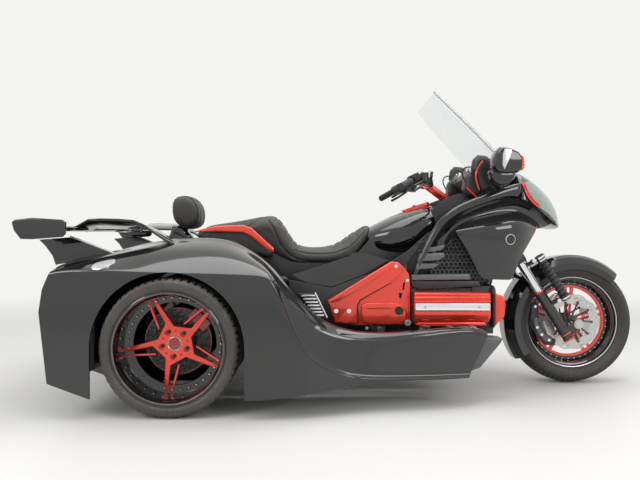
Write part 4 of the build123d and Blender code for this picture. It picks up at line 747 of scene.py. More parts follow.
def makeRearWheel(side, name):
    body = "rear_wheel_" + name
    place = Matrix.Translation((rearWheel["place"][0], side * rearWheel["place"][1], rearWheel["place"][2]))

    def put(piece, work, material, replaces=(), smoothAngle=35):
        if side > 0:
            flipped(work)
        return shown("rear_" + piece + "_" + name, moved(work, place), material, body, replaces, smoothAngle)

    tyre = spunProfile(rearWheel["tyre"] + mirroredProfile(rearWheel["tyre"]), rearWheel["steps"])
    cutTread(tyre, rearWheel["steps"], *rearWheel["tread"])
    piece = put("tyre_tread", tyre, ["tyreRubber", "tyreScuffed"], ["rear_tyre_" + name], 28)
    low, high, outside = rearWheel["scuffed"]
    for face in piece.data.polygons:
        middle = face.center - place.translation
        if low < math.hypot(middle.x, middle.z) < high and abs(middle.y) > outside:
            face.material_index = 1
    put("rim_barrel", spunProfile(rearWheel["rim"], 128), "glossBlack", ["rear_rim_" + name], 25)
    put("lip_line", spunProfile(rearWheel["lip"], 128), "greyTrim")

    step = 360 / rearWheel["spokes"]
    lugs, pins = rearWheel["lugs"], rearWheel["pins"]
    outline, cutters, thin, nuts = [], [], [], []
    for index in range(rearWheel["spokes"]):
        outline += [polar(radius / 1000, turn + step * index) for radius, turn in rearWheel["star"]]
        thin.append(plate([polar(radius / 1000, turn + step * index) for radius, turn in rearWheel["thinBar"]],
                          rearWheel["spokeBack"], rearWheel["thinFace"], rearWheel["thinEdge"], 2))
        x, z = polar(lugs["ring"], lugs["turn"] + step * index)
        cutters.append(crossRod(x, z, lugs["floor"], -0.02, lugs["radius"], 28))
        nuts.append(crossRod(x, z, 0.016, 0.004, 0.0095, 6))
        nuts.append(crossRod(x, z, 0.005, -0.001, 0.0065, 16, 0.004))
        x, z = polar(pins["ring"], lugs["turn"] - step / 2 + step * index)
        cutters.append(crossRod(x, z, lugs["floor"], -0.02, pins["radius"], 16))
    star = without(plate(outline, rearWheel["spokeBack"], 0.0, rearWheel["spokeEdge"], 3), [joined(*cutters)])
    put("spoke_star", star, "candyRed", ["rear_spokes_" + name], 30)
    put("thin_bars", joined(*thin), "candyRed", (), 30)
    put("lug_nuts", joined(*nuts), "satinBlack")
    put("hub_back", spunProfile(rearWheel["hubBack"], 64), "castDark")
    put("cap_ring", spunProfile(rearWheel["capRing"], 64), "silverTrim")
    put("cap_face", spunProfile(rearWheel["capFace"], 64), "deepRed")
    rivets = rearWheel["rivets"]
    put("rivets", joined(studs(*rivets["face"], rivets["count"], rivets["size"]),
                         barrelStuds(*rivets["barrel"], rivets["count"], rivets["size"], 0.5)), "chrome")
    put("disc_edge", spunProfile(rearWheel["discEdge"], 96), "deepRed")


frontWheel = {
    "place": (1.148, 0.0, 0.322),
    "steps": 216,
    "tyre": [(229, -52), (236, -57), (243, -60.5), (246, -63.5), (250, -64), (262, -74), (276, -78.6), (286, -78),
             (297, -71), (307, -59), (314, -44), (319.5, -26), (321.5, -9)],
    "tread": (3, 1, (0.040, 0.072, 0.298), 0.006),
    "rim": [(242, 57), (241.5, 60.5), (238, 62), (234, 61.5), (231, 58), (228, 50), (224, 45), (214, 38), (207, 14),
            (203, 10), (190, 9), (186, 8), (186, -8), (190, -9), (203, -10), (207, -14), (214, -38), (224, -45),
            (228, -50), (231, -58), (234, -61.5), (238, -62), (241.5, -60.5), (242, -57), (236, -52), (220, -46),
            (212, -20), (212, 20), (220, 46), (236, 52)],
    "lip": [(231.5, 58), (233.6, 61.8), (236, 62.6), (235.6, 63), (232.8, 62), (230.6, 58.4)],
    "ring": [(177, 7), (179, 9), (186, 10), (189, 9.5), (189, -9.5), (186, -10), (179, -9), (177, -7)],
    "spokes": 5, "spokeFrom": 90, "spokeHalf": 5, "spokeFlare": 1.7,
    # each spoke is a pair of bars: radius and angle of its start and end
    "spokePair": [((30, -18), (178.5, -7)), ((30, 18), (178.5, 4))],
    "spokeThick": 0.014, "spokeEdge": 0.002,
    "hub": [(11.4, 59), (30, 59), (34, 55), (34, 48), (26, 40), (26, -40), (34, -48), (34, -55), (30, -59),
            (11.4, -59)],
    "rivets": (0.200, 0.0115, 40, 0.0040),
    "disc": {"inner": 0.0515, "outer": 0.0565, "columns": 160, "rings": 8, "waves": 10,
             "rim": 0.145, "rimWave": 0.0035, "bore": 0.098, "boreWave": 0.003},
    "carrier": {"arms": 10, "hub": 0.032, "rim": 0.105, "skew": 12, "out": 0.054, "arm": 0.0045, "bobbin": 0.007,
                "ring": [(28, 51), (36, 51), (36, 57), (28, 57)]},
}


def makeFrontWheel():
    place = Matrix.Translation(frontWheel["place"])

    def put(piece, work, material, replaces=(), smoothAngle=35):
        return shown("front_" + piece, moved(work, place), material, "front_wheel", replaces, smoothAngle)

    tyre = spunProfile(frontWheel["tyre"] + mirroredProfile(frontWheel["tyre"]), frontWheel["steps"])
    cutTread(tyre, frontWheel["steps"], *frontWheel["tread"])
    put("tyre_tread", tyre, "tyreRubber", ["front_tyre"], 28)
    put("rim_barrel", spunProfile(frontWheel["rim"], 128), "glossBlack", ["front_rim"], 25)
    put("lip_line", joined(spunProfile(frontWheel["lip"], 128),
                           spunProfile(mirroredProfile(frontWheel["lip"]), 128)), "silverTrim")
    put("ring", spunProfile(frontWheel["ring"], 128), "candyRed", (), 30)
    bars = []
    half, flare, thick = frontWheel["spokeHalf"], frontWheel["spokeFlare"], frontWheel["spokeThick"]
    for index in range(frontWheel["spokes"]):
        turn = frontWheel["spokeFrom"] + 360 / frontWheel["spokes"] * index
        for (startRadius, startTurn), (endRadius, endTurn) in frontWheel["spokePair"]:
            start = Vector(polar(startRadius, turn + startTurn))
            end = Vector(polar(endRadius, turn + endTurn))
            along = (end - start).normalized()
            across = Vector((-along.y, along.x)) * half
            corners = (start - across, end - across * flare, end + across * flare, start + across)
            bars.append(plate([corner / 1000 for corner in corners], thick / 2, -thick / 2,
                              frontWheel["spokeEdge"], 2))
    put("spokes", joined(*bars), "candyRed")
    put("hub", spunProfile(frontWheel["hub"], 48), "castDark")
    put("rivets", bothSides(studs(*frontWheel["rivets"])), "chrome")
    put("discs_wavy", bothSides(wavyDisc(**frontWheel["disc"])), "brushedSteel", ["front_discs"])
    carrier = frontWheel["carrier"]
    out = carrier["out"]
    carriers = []
    for index in range(carrier["arms"]):
        turn = 360 / carrier["arms"] * index
        x0, z0 = polar(carrier["hub"], turn + carrier["skew"])
        x1, z1 = polar(carrier["rim"], turn)
        carriers.append(rodBetween((x0, -out, z0), (x1, -out, z1), carrier["arm"], 10))
        carriers.append(crossRod(x1, z1, 0.0035 - out, -0.0045 - out, carrier["bobbin"], 14))
    carriers.append(spunProfile(carrier["ring"], 40))
    put("disc_carriers", bothSides(joined(*carriers)), "castDark")


def wavyDisc(inner, outer, columns, rings, waves, rim, rimWave, bore, boreWave):
    # a ring with a waved rim and slots through it
    work = bmesh.new()
    grid = []
    for ring in range(rings + 1):
        row = []
        for column in range(columns):
            turn = math.tau * column / columns
            edge = rim + rimWave * math.cos(turn * waves)
            inside = bore + boreWave * math.cos(turn * waves)
            radius = inside + (edge - inside) * ring / rings
            row.append(work.verts.new((radius * math.cos(turn), -inner, radius * math.sin(turn))))
        grid.append(row)
    for ring in range(rings):
        for column in range(columns):
            spot = (column + 2 * ring) % 16
            if ring in (1, 2, 3) and spot in (3, 4) or ring in (4, 5, 6) and spot in (11, 12):
                continue  # a slot
            after = (column + 1) % columns
            work.faces.new((grid[ring][column], grid[ring][after], grid[ring + 1][after], grid[ring + 1][column]))
    return thickened(work, (0, inner - outer, 0))


for side, name in sides:
    makeRearWheel(side, name)
makeFrontWheel()
print("wheels made")


# seat and backrest: padded shapes swollen a little by a cloth simulation, then seams drawn in

seatShape = {
    # x, crown up, edge up, half width, foot up
    "rows": [
        (-0.786, 0.812, 0.800, 0.112, 0.788), (-0.740, 0.828, 0.812, 0.148, 0.775),
        (-0.660, 0.838, 0.820, 0.162, 0.760), (-0.580, 0.851, 0.832, 0.164, 0.740),
        (-0.500, 0.868, 0.846, 0.165, 0.715), (-0.440, 0.877, 0.852, 0.164, 0.690),
        (-0.410, 0.875, 0.846, 0.162, 0.670), (-0.385, 0.856, 0.822, 0.162, 0.655),
        (-0.355, 0.806, 0.780, 0.163, 0.644), (-0.325, 0.754, 0.738, 0.164, 0.636),
        (-0.295, 0.722, 0.704, 0.165, 0.632), (-0.240, 0.709, 0.690, 0.165, 0.630),
        (-0.170, 0.709, 0.688, 0.165, 0.630), (-0.110, 0.720, 0.692, 0.163, 0.632),
        (-0.060, 0.746, 0.706, 0.157, 0.642), (-0.010, 0.788, 0.738, 0.145, 0.664),
        (0.030, 0.822, 0.780, 0.128, 0.697), (0.060, 0.836, 0.812, 0.110, 0.737),
        (0.086, 0.834, 0.822, 0.088, 0.792),
    ],
    "swell": 0.006,
    "voxel": 0.006,
    "seamDepth": 0.0055,
    "seamWidth": 0.0055,
    # on each side: how often the corners are cut, and x, out, up; the edge seam comes before them
    "seams": [
        (2, [(-0.432, 0.150, 0.862), (-0.400, 0.158, 0.790), (-0.362, 0.165, 0.700), (-0.300, 0.165, 0.655),
             (-0.225, 0.165, 0.633)]),
        (2, [(-0.560, 0.165, 0.815), (-0.510, 0.140, 0.858), (-0.470, 0.070, 0.875), (-0.470, 0, 0.880)]),
        (2, [(-0.425, 0.128, 0.870), (-0.395, 0.120, 0.850), (-0.340, 0.118, 0.775), (-0.295, 0.112, 0.722)]),
        (0, [(-0.110, 0.105, 0.715), (-0.050, 0.095, 0.745), (0.010, 0.075, 0.795), (0.045, 0.055, 0.825)]),
        (0, [(-0.398, 0.038, 0.868), (-0.345, 0.038, 0.790), (-0.300, 0.038, 0.728)]),
        (0, [(-0.095, 0.038, 0.728), (-0.035, 0.038, 0.768), (0.0, 0.038, 0.797)]),
    ],
    # seams across: half width, drop at the ends, and x, up
    "ribs": [
        (0.118, 0.012, [(-0.398, 0.868), (-0.372, 0.835), (-0.346, 0.793), (-0.321, 0.752), (-0.297, 0.724)]),
        (0.098, 0.022, [(-0.100, 0.724), (-0.062, 0.746), (-0.026, 0.774), (0.008, 0.803)]),
    ],
    "threads": (0, 1, 2, 7, 8, 9),  # the seams that carry piping
}
cloth = {
    "quality": 5, "mass": 0.3, "tension_stiffness": 40, "compression_stiffness": 40, "shear_stiffness": 20,
    "bending_stiffness": 3, "use_pressure": True, "uniform_pressure_force": 4,
}
clothFrames = 20
backrestShape = {
    "side": [(-0.940, 0.962), (-0.907, 0.986), (-0.845, 0.986), (-0.812, 0.950), (-0.792, 0.900), (-0.800, 0.820),
             (-0.864, 0.799), (-0.930, 0.834), (-0.942, 0.900)],
    "slices": [(-0.130, 0.62), (-0.116, 0.88), (-0.085, 0.97), (0.0, 1.0), (0.085, 0.97), (0.116, 0.88), (0.130, 0.62)],
    "swell": 0.004,
    "pipingOut": 0.1,
    "front": [(-0.80, 0.83), (-0.79, 0.90), (-0.82, 0.96)],
    "frontOut": 0.05,
}


def seatSection(row):
    x, crown, edge, half, foot = row
    right = [(0.0, foot), (half * 0.7, foot), (half - 0.012, foot + 0.006), (half, foot + (edge - foot) * 0.3),
             (half, edge - 0.016), (half - 0.014, edge), (half * 0.55, edge + (crown - edge) * 0.72), (0.0, crown)]
    left = [(-out, up) for out, up in right[1:-1]][::-1]
    return [Vector((x, -out, up)) for out, up in right + left]


def swollen(work, name, amount):
    # the shape remeshed evenly and blown up gently as cloth
    work = worked(work, ("REMESH", {"mode": "VOXEL", "voxel_size": seatShape["voxel"]}))
    bmesh.ops.recalc_face_normals(work, faces=work.faces)
    mesh = meshOf(name, work)
    holder = makeObject(name, mesh)
    solver = holder.modifiers.new("cloth", "CLOTH")
    for key, value in cloth.items():
        setattr(solver.settings, key, value)
    solver.settings.effector_weights.gravity = 0
    solver.collision_settings.use_collision = False
    solver.point_cache.frame_start = 1
    solver.point_cache.frame_end = clothFrames
    rest = [vert.co.copy() for vert in mesh.vertices]
    scene = bpy.context.scene
    for moment in range(1, clothFrames + 1):
        scene.frame_set(moment)
    result = bpy.data.meshes.new_from_object(holder.evaluated_get(bpy.context.evaluated_depsgraph_get()))
    scene.frame_set(1)
    bpy.data.objects.remove(holder)
    work = workOf(result)
    for vert, before in zip(work.verts, rest):
        shift = vert.co - before
        if shift.length > amount:
            vert.co = before + shift.normalized() * amount
    bmesh.ops.smooth_vert(work, verts=work.verts, factor=0.5, use_axis_x=True, use_axis_y=True, use_axis_z=True)
    return work


def onSurface(tree, points, step=0.002, lift=0.0):
    # a line of points laid on the nearest surface
    laid = []
    for start, end in zip(points, points[1:]):
        start, end = Vector(start), Vector(end)
        count = max(2, int((end - start).length / step))
        for index in range(count):
            place, normal = tree.find_nearest(start.lerp(end, index / count))[:2]
            laid.append(place + normal * lift)
    return laid


def smoothLine(points, rounds=2):
    # corners cut off a line of points
    for turn in range(rounds):
        cut = [Vector(points[0])]
        for start, end in zip(points, points[1:]):
            start, end = Vector(start), Vector(end)
            cut += [start.lerp(end, 0.25), start.lerp(end, 0.75)]
        points = cut + [Vector(points[-1])]
    return points


def drawSeams(work, lines):
    # the surface pressed in along the lines
    tree = BVHTree.FromBMesh(work)
    laid = [point for line in lines for point in onSurface(tree, line)]
    near = KDTree(len(laid))
    for index, point in enumerate(laid):
        near.insert(point, index)
    near.balance()
    work.normal_update()
    for vert in work.verts:
        distance = near.find(vert.co)[2]
        if distance < 0.02:
            vert.co -= vert.normal * seatShape["seamDepth"] * math.exp(-(distance / seatShape["seamWidth"]) ** 2)
    return work


def seatSeams():
    lines = []
    for side in (-1, 1):
        edge = [(x, side * (half - 0.012), up) for x, crown, up, half, foot in seatShape["rows"][10:18]]
        lines.append(smoothLine(edge, 1))
        lines += [smoothLine([(x, side * out, up) for x, out, up in seam], rounds)
                  for rounds, seam in seatShape["seams"]]
    for half, drop, places in seatShape["ribs"]:
        lines += [[(x, -half, up - drop), (x, 0, up), (x, half, up - drop)] for x, up in places]
    return lines


def makeSeat():
    work = smoothed(loft([seatSection(row) for row in seatShape["rows"]]), 2)
    work = swollen(work, "seatCloth", seatShape["swell"])
    work = smoothed(work, 1)
    seams = seatSeams()
    work = drawSeams(work, seams)
    tree = BVHTree.FromBMesh(work)
    seat = shown("seat_pad", work, "leather", "chassis", ["seat"], 180)
    for index, seam in enumerate(seatShape["threads"]):
        points = onSurface(tree, seams[seam], 0.012, 0.0006)
        tube("seat_piping_%d" % index, points, 0.0016, "leatherSeam", "chassis")


def makeBackrest():
    side = backrestShape["side"]
    middle = Vector(middleOf(side))
    sections = [[Vector((middle.x + (x - middle.x) * share, along, middle.y + (z - middle.y) * share))
                 for x, z in side] for along, share in backrestShape["slices"]]
    work = smoothed(loft(sections), 2)
    work = swollen(work, "backrestCloth", backrestShape["swell"])
    work = smoothed(work, 1)
    out = backrestShape["pipingOut"]
    ring = [[(x, along, z) for x, z in side + side[:1]] for along in (-out, out)]
    out = backrestShape["frontOut"]
    front = [[(x, along, z) for x, z in backrestShape["front"]] for along in (-out, out)]
    work = drawSeams(work, ring + front)
    tree = BVHTree.FromBMesh(work)
    pad = shown("backrest_pad", work, "leather", "chassis", ["backrest"], 180)
    for index, line in enumerate(ring):
        tube("backrest_piping_%d" % index, onSurface(tree, smoothLine(line, 1), 0.01, 0.0008), 0.0020,
             "leatherSeam", "chassis")


makeSeat()
makeBackrest()
print("seat and backrest made")


# fairing: rolled band, scoop, nose with its lamp, and the mirrors

fairing = {
    # upper edge x and up, lower edge x and up, how far out
    "band": [
        (0.262, 0.560, 0.292, 0.560, 0.312), (0.290, 0.640, 0.318, 0.630, 0.318), (0.325, 0.722, 0.352, 0.705, 0.324),
        (0.364, 0.804, 0.394, 0.784, 0.330), (0.418, 0.880, 0.446, 0.850, 0.334), (0.506, 0.932, 0.528, 0.896, 0.336),
        (0.595, 0.966, 0.610, 0.926, 0.334), (0.680, 0.996, 0.690, 0.954, 0.330), (0.760, 1.024, 0.760, 0.968, 0.322),
        (0.806, 1.036, 0.800, 0.958, 0.312),
    ],
    # the dark hollow between band and scoop: x, up, out
    "hollow": [
        [(0.345, 0.700, 0.312), (0.394, 0.790, 0.318), (0.446, 0.855, 0.322), (0.528, 0.900, 0.324),
         (0.650, 0.944, 0.318), (0.760, 0.964, 0.306), (0.830, 0.940, 0.292), (0.900, 0.898, 0.264),
         (0.960, 0.862, 0.228), (0.995, 0.838, 0.196)],
        [(0.375, 0.690, 0.290), (0.425, 0.770, 0.280), (0.480, 0.826, 0.272), (0.560, 0.862, 0.262),
         (0.660, 0.892, 0.252), (0.760, 0.905, 0.244), (0.825, 0.893, 0.234), (0.880, 0.868, 0.216),
         (0.930, 0.842, 0.192), (0.960, 0.822, 0.172)],
        [(0.410, 0.680, 0.310), (0.450, 0.750, 0.318), (0.500, 0.795, 0.335), (0.565, 0.812, 0.345),
         (0.655, 0.828, 0.345), (0.740, 0.845, 0.335), (0.800, 0.843, 0.310), (0.850, 0.828, 0.280),
         (0.885, 0.815, 0.255), (0.915, 0.806, 0.225)],
    ],
    # scoop rows from the crest down; each place is x, up, out
    "scoop": [
        [(0.490, 0.800, 0.340), (0.560, 0.816, 0.345), (0.653, 0.832, 0.345), (0.735, 0.848, 0.335),
         (0.800, 0.846, 0.310), (0.872, 0.818, 0.262)],
        [(0.466, 0.802, 0.372), (0.545, 0.818, 0.386), (0.648, 0.834, 0.392), (0.735, 0.852, 0.380),
         (0.806, 0.850, 0.345), (0.884, 0.820, 0.275)],
        [(0.470, 0.786, 0.378), (0.550, 0.796, 0.396), (0.652, 0.806, 0.403), (0.738, 0.818, 0.392),
         (0.806, 0.818, 0.355), (0.874, 0.800, 0.290)],
        [(0.498, 0.746, 0.374), (0.570, 0.746, 0.392), (0.660, 0.750, 0.400), (0.735, 0.755, 0.392),
         (0.790, 0.757, 0.364), (0.838, 0.754, 0.318)],
        [(0.528, 0.704, 0.364), (0.592, 0.702, 0.381), (0.665, 0.700, 0.388), (0.725, 0.700, 0.381),
         (0.768, 0.700, 0.360), (0.803, 0.700, 0.330)],
        [(0.557, 0.652, 0.350), (0.612, 0.650, 0.364), (0.670, 0.648, 0.369), (0.715, 0.647, 0.364),
         (0.748, 0.646, 0.350), (0.777, 0.645, 0.332)],
        [(0.596, 0.568, 0.330), (0.632, 0.566, 0.338), (0.674, 0.565, 0.341), (0.705, 0.564, 0.338),
         (0.728, 0.563, 0.331), (0.748, 0.562, 0.324)],
    ],
    # nose rows: x, top, shoulder out and up, side out and up, lip out and up, under out and up
    "nose": [
        (0.776, 1.128, 0.200, 1.106, 0.300, 1.030, 0.312, 0.966, 0.285, 0.950),
        (0.820, 1.122, 0.195, 1.096, 0.296, 1.010, 0.308, 0.948, 0.278, 0.930),
        (0.870, 1.106, 0.180, 1.076, 0.278, 0.982, 0.294, 0.920, 0.262, 0.900),
        (0.920, 1.074, 0.160, 1.042, 0.250, 0.946, 0.268, 0.888, 0.235, 0.866),
        (0.970, 1.036, 0.132, 1.004, 0.212, 0.908, 0.232, 0.856, 0.195, 0.836),
        (1.020, 0.988, 0.098, 0.956, 0.162, 0.876, 0.180, 0.834, 0.145, 0.816),
        (1.058, 0.930, 0.066, 0.904, 0.108, 0.850, 0.118, 0.820, 0.092, 0.808),
        (1.078, 0.880, 0.036, 0.864, 0.058, 0.838, 0.062, 0.822, 0.048, 0.814),
    ],
    "lens": [(0.812, 1.030), (0.858, 1.040), (0.905, 1.022), (0.949, 0.992), (0.984, 0.960), (1.004, 0.932),
             (1.020, 0.900), (1.026, 0.872), (1.014, 0.840), (0.994, 0.852), (0.966, 0.872), (0.936, 0.892),
             (0.898, 0.910), (0.859, 0.932), (0.834, 0.962), (0.819, 0.996)],
    "crescents": [[(0.808, 1.034), (0.818, 0.994), (0.836, 0.958), (0.862, 0.930), (0.892, 0.914)],
                  [(0.822, 1.032), (0.830, 0.998), (0.848, 0.964), (0.872, 0.938), (0.898, 0.922)]],
    "lipCrease": 0.7,
    "badge": (0.7215, 0.757, 0.026),  # x, up, radius
}


def patch(rows, thickness, levels=2):
    # a skin through rows of (x, up, out), given a thickness inwards
    work = bmesh.new()
    grid = [[work.verts.new((x, -out, up)) for x, up, out in row] for row in rows]
    for upper, lower in zip(grid, grid[1:]):
        for index in range(len(upper) - 1):
            work.faces.new((upper[index], lower[index], lower[index + 1], upper[index + 1]))
    bmesh.ops.recalc_face_normals(work, faces=work.faces)
    return worked(work, ("SUBSURF", {"levels": levels, "render_levels": levels}),
                  ("SOLIDIFY", {"thickness": thickness, "offset": 0.0}))


def bandSection(row):
    topX, topUp, lowX, lowUp, out = row
    top, low = Vector((topX, 0, topUp)), Vector((lowX, 0, lowUp))

    def at(share, outward):
        place = top.lerp(low, share)
        return Vector((place.x, -outward, place.z))
    return [at(0.0, out - 0.020), at(-0.02, out - 0.006), at(0.22, out + 0.004), at(0.62, out + 0.006),
            at(0.94, out), at(1.0, out - 0.014), at(0.5, out - 0.026)]


def noseSection(row):
    x, top, shoulderOut, shoulderUp, sideOut, sideUp, lipOut, lipUp, underOut, underUp = row
    right = [(shoulderOut, shoulderUp), ((shoulderOut + sideOut) / 2 + 0.008, (shoulderUp + sideUp) / 2 + 0.006),
             (sideOut, sideUp), ((sideOut + lipOut) / 2, (sideUp + lipUp) / 2), (lipOut, lipUp), (underOut, underUp)]
    return wholeSection(x, top, right, underUp - 0.005)


def draped(outline, tree, lift, thickness, steps=14):
    # a patch of the side surface inside an outline of (x, up), lifted off it
    work = bmesh.new()
    work.faces.new([work.verts.new((x, -0.9, z)) for x, z in outline])
    lowX, highX = min(x for x, z in outline), max(x for x, z in outline)
    lowZ, highZ = min(z for x, z in outline), max(z for x, z in outline)
    for index in range(1, steps):
        share = index / steps
        for origin, normal in (((lowX + (highX - lowX) * share, 0, 0), (1, 0, 0)),
                               ((0, 0, lowZ + (highZ - lowZ) * share), (0, 0, 1))):
            bmesh.ops.bisect_plane(work, geom=work.verts[:] + work.edges[:] + work.faces[:], plane_co=origin,
                                   plane_no=normal, dist=0.00001)
    for vert in work.verts:
        vert.co = tree.ray_cast(vert.co, (0, 1, 0))[0] or tree.find_nearest(vert.co)[0]
    bmesh.ops.recalc_face_normals(work, faces=work.faces)
    work.normal_update()
    if sum(face.normal.y for face in work.faces) > 0:
        bmesh.ops.reverse_faces(work, faces=work.faces)
        work.normal_update()
    for vert in work.verts:
        vert.co += vert.normal * lift
    return worked(work, ("SOLIDIFY", {"thickness": thickness, "offset": -1.0}))


def sliced(outline, slices):
    # a rounded body: its side outline shrunk about its middle at each distance out
    middleX, middleZ = middleOf(outline)
    return loft([[Vector((middleX + (x - middleX) * share, -out, middleZ + (z - middleZ) * share))
                  for x, z in outline] for out, share in slices])


def makeFairing():
    band = smoothed(loft([bandSection(row) for row in fairing["band"]]), 2)
    paired("fairing_bands", band, "glossBlack", ["fairing"])
    paired("fairing_hollows", patch(fairing["hollow"], 0.006), "glossBlack", (), 50)
    paired("scoop_shells", patch(fairing["scoop"], 0.006), "glossBlack", ["scoops"], 50)
    nose = loft([noseSection(row) for row in fairing["nose"]])

    def onLip(vert):
        row = min(fairing["nose"], key=lambda place: abs(place[0] - vert.co.x))
        return abs(vert.co.z - row[7]) < 0.001 and abs(abs(vert.co.y) - row[6]) < 0.001
    creaseWhere(nose, lambda edge: all(onLip(vert) for vert in edge.verts), fairing["lipCrease"])
    nose = smoothed(nose, 2)
    tree = BVHTree.FromBMesh(nose)
    shown("nose_shell", nose, "glossBlack", "chassis", (), 40)
    paired("lamp_bowls", draped(fairing["lens"], tree, 0.0012, 0.002), "chrome")
    paired("lamp_lenses", draped(fairing["lens"], tree, 0.006, 0.0035), "lampLens", ["headlamps"])
    for side, name in sides:
        for index, line in enumerate(fairing["crescents"]):
            points = []
            for place in smoothLine([(x, -0.6, z) for x, z in line], 1):
                met = tree.ray_cast(place, (0, 1, 0))[0]
                points.append((met.x, -side * (met.y - 0.008), met.z))
            tube("lamp_crescent_%s_%d" % (name, index), points, 0.0045, "candyRed", "chassis")
    x, up, radius = fairing["badge"]
    place, normal = BVHTree.FromBMesh(patch(fairing["scoop"], 0.006)).ray_cast(Vector((x, -0.6, up)), (0, 1, 0))[:2]
    turn = (-normal if normal.y > 0 else normal).to_track_quat("Z", "Y").to_matrix().to_4x4()
    for piece, foot, head, depth, finishName in (("rings", 0.0, 0.001, 0.003, "silverTrim"),
                                                 ("faces", 0.0035, 0.004, 0.0042, "satinBlack")):
        work = bmesh.new()
        bmesh.ops.create_cone(work, cap_ends=True, segments=48, radius1=radius - foot, radius2=radius - head,
                              depth=depth, matrix=Matrix.Translation(place) @ turn)
        paired("badge_" + piece, work, finishName)
    for side, name in sides:
        edge = [(x + 0.002, side * out, up) for x, up, out in [row[-1] for row in fairing["scoop"][1:5]]]
        tube("scoop_pinstripe_" + name, edge, 0.0018, "candyRed", "chassis")


mirrorShape = {
    "pod": [(0.655, 1.188), (0.704, 1.180), (0.742, 1.162), (0.761, 1.133), (0.764, 1.088), (0.742, 1.066),
            (0.690, 1.060), (0.640, 1.062), (0.616, 1.084), (0.614, 1.122), (0.630, 1.160)],
    "podSlices": [(0.352, 0.66), (0.364, 0.88), (0.410, 1.0), (0.455, 0.97), (0.474, 0.84)],
    "bowl": [(0.604, 1.078), (0.614, 1.030), (0.650, 1.004), (0.692, 1.010), (0.728, 1.034), (0.742, 1.070),
             (0.690, 1.084), (0.640, 1.086)],
    "bowlSlices": [(0.300, 0.60), (0.330, 0.78), (0.372, 0.92), (0.420, 1.0), (0.448, 0.80)],
    "glass": [(0.668, 1.174), (0.702, 1.168), (0.694, 1.132), (0.668, 1.076), (0.658, 1.100), (0.660, 1.150)],
    "arm": ((0.700, -0.300, 1.010), (0.660, -0.360, 1.040), 0.022, 24, 0.016),  # ends, radius, segments, end radius
    "flash": [(0.748, 1.142), (0.755, 1.136), (0.760, 1.128), (0.757, 1.122), (0.762, 1.114), (0.758, 1.108),
              (0.763, 1.100), (0.758, 1.094), (0.761, 1.086), (0.752, 1.076), (0.746, 1.080), (0.750, 1.110)],
}


def makeMirrors():
    pod = eased(sliced(mirrorShape["pod"], mirrorShape["podSlices"]), 0.007, 4)
    bowl = eased(sliced(mirrorShape["bowl"], mirrorShape["bowlSlices"]), 0.010, 4)
    arm = rodBetween(*mirrorShape["arm"])
    paired("mirror_pods", joined(pod, bowl, arm), "glossBlack", ["mirrors"], 50)
    paired("mirror_glasses", plate(mirrorShape["glass"], -0.464, -0.4745, 0.002, 2), "silverTrim")
    paired("mirror_flashes", plate(mirrorShape["flash"], -0.440, -0.472, 0.001, 1), "candyRed")


makeFairing()
makeMirrors()
print("fairing and mirrors made")


# red covers, engine details and what is between the tank and the pods

covers = {
    "arm": [(-0.137, 0.462), (0.010, 0.553), (0.169, 0.650), (0.200, 0.647), (0.228, 0.626), (0.255, 0.590),
            (0.261, 0.560), (0.261, 0.470), (0.262, 0.346), (0.015, 0.341), (-0.104, 0.356)],
    # the raised bar along the rear edge, with a bevel towards the groove
    "bar": [(-0.134, 0.462), (0.010, 0.552), (0.168, 0.648), (0.199, 0.645), (0.226, 0.622), (0.214, 0.590),
            (0.163, 0.547), (0.018, 0.466), (0.004, 0.440), (0.006, 0.352), (-0.104, 0.358)],
    "upperFacet": [(-0.128, 0.462), (0.010, 0.547), (0.166, 0.641), (0.195, 0.640), (0.030, 0.530), (-0.080, 0.462),
                   (-0.120, 0.452)],
    "armOuts": (0.292, 0.312, 0.326, 0.3345),
    "gearcase": [(0.024, 0.442), (0.050, 0.452), (0.165, 0.455), (0.200, 0.448), (0.232, 0.430), (0.244, 0.402),
                 (0.240, 0.366), (0.214, 0.349), (0.120, 0.346), (0.050, 0.352), (0.028, 0.366), (0.020, 0.400)],
    "hole": (0.205, 0.414, 0.0215),
    "bolts": [(-0.098, 0.412, 0.008), (-0.036, 0.412, 0.008), (0.247, 0.356, 0.012), (0.050, 0.330, 0.006),
              (0.244, 0.560, 0.006), (0.190, 0.628, 0.006)],
    "recess": (-0.056, 0.375, 0.023),
    "slits": [[(0.226, 0.545), (0.236, 0.550), (0.232, 0.515), (0.222, 0.512)],
              [(0.206, 0.500), (0.222, 0.495), (0.216, 0.470), (0.208, 0.472)]],
    "groove": [(0.166, 0.552), (0.156, 0.545), (0.014, 0.464), (0.000, 0.440), (0.003, 0.352), (0.012, 0.352),
               (0.010, 0.438), (0.022, 0.461), (0.168, 0.545)],
    "ridge": [(0.048, 0.438), (0.158, 0.441), (0.176, 0.430), (0.165, 0.424), (0.056, 0.421), (0.042, 0.428)],
    "pegs": {"count": 3, "ring": 0.012, "radius": 0.006},
}
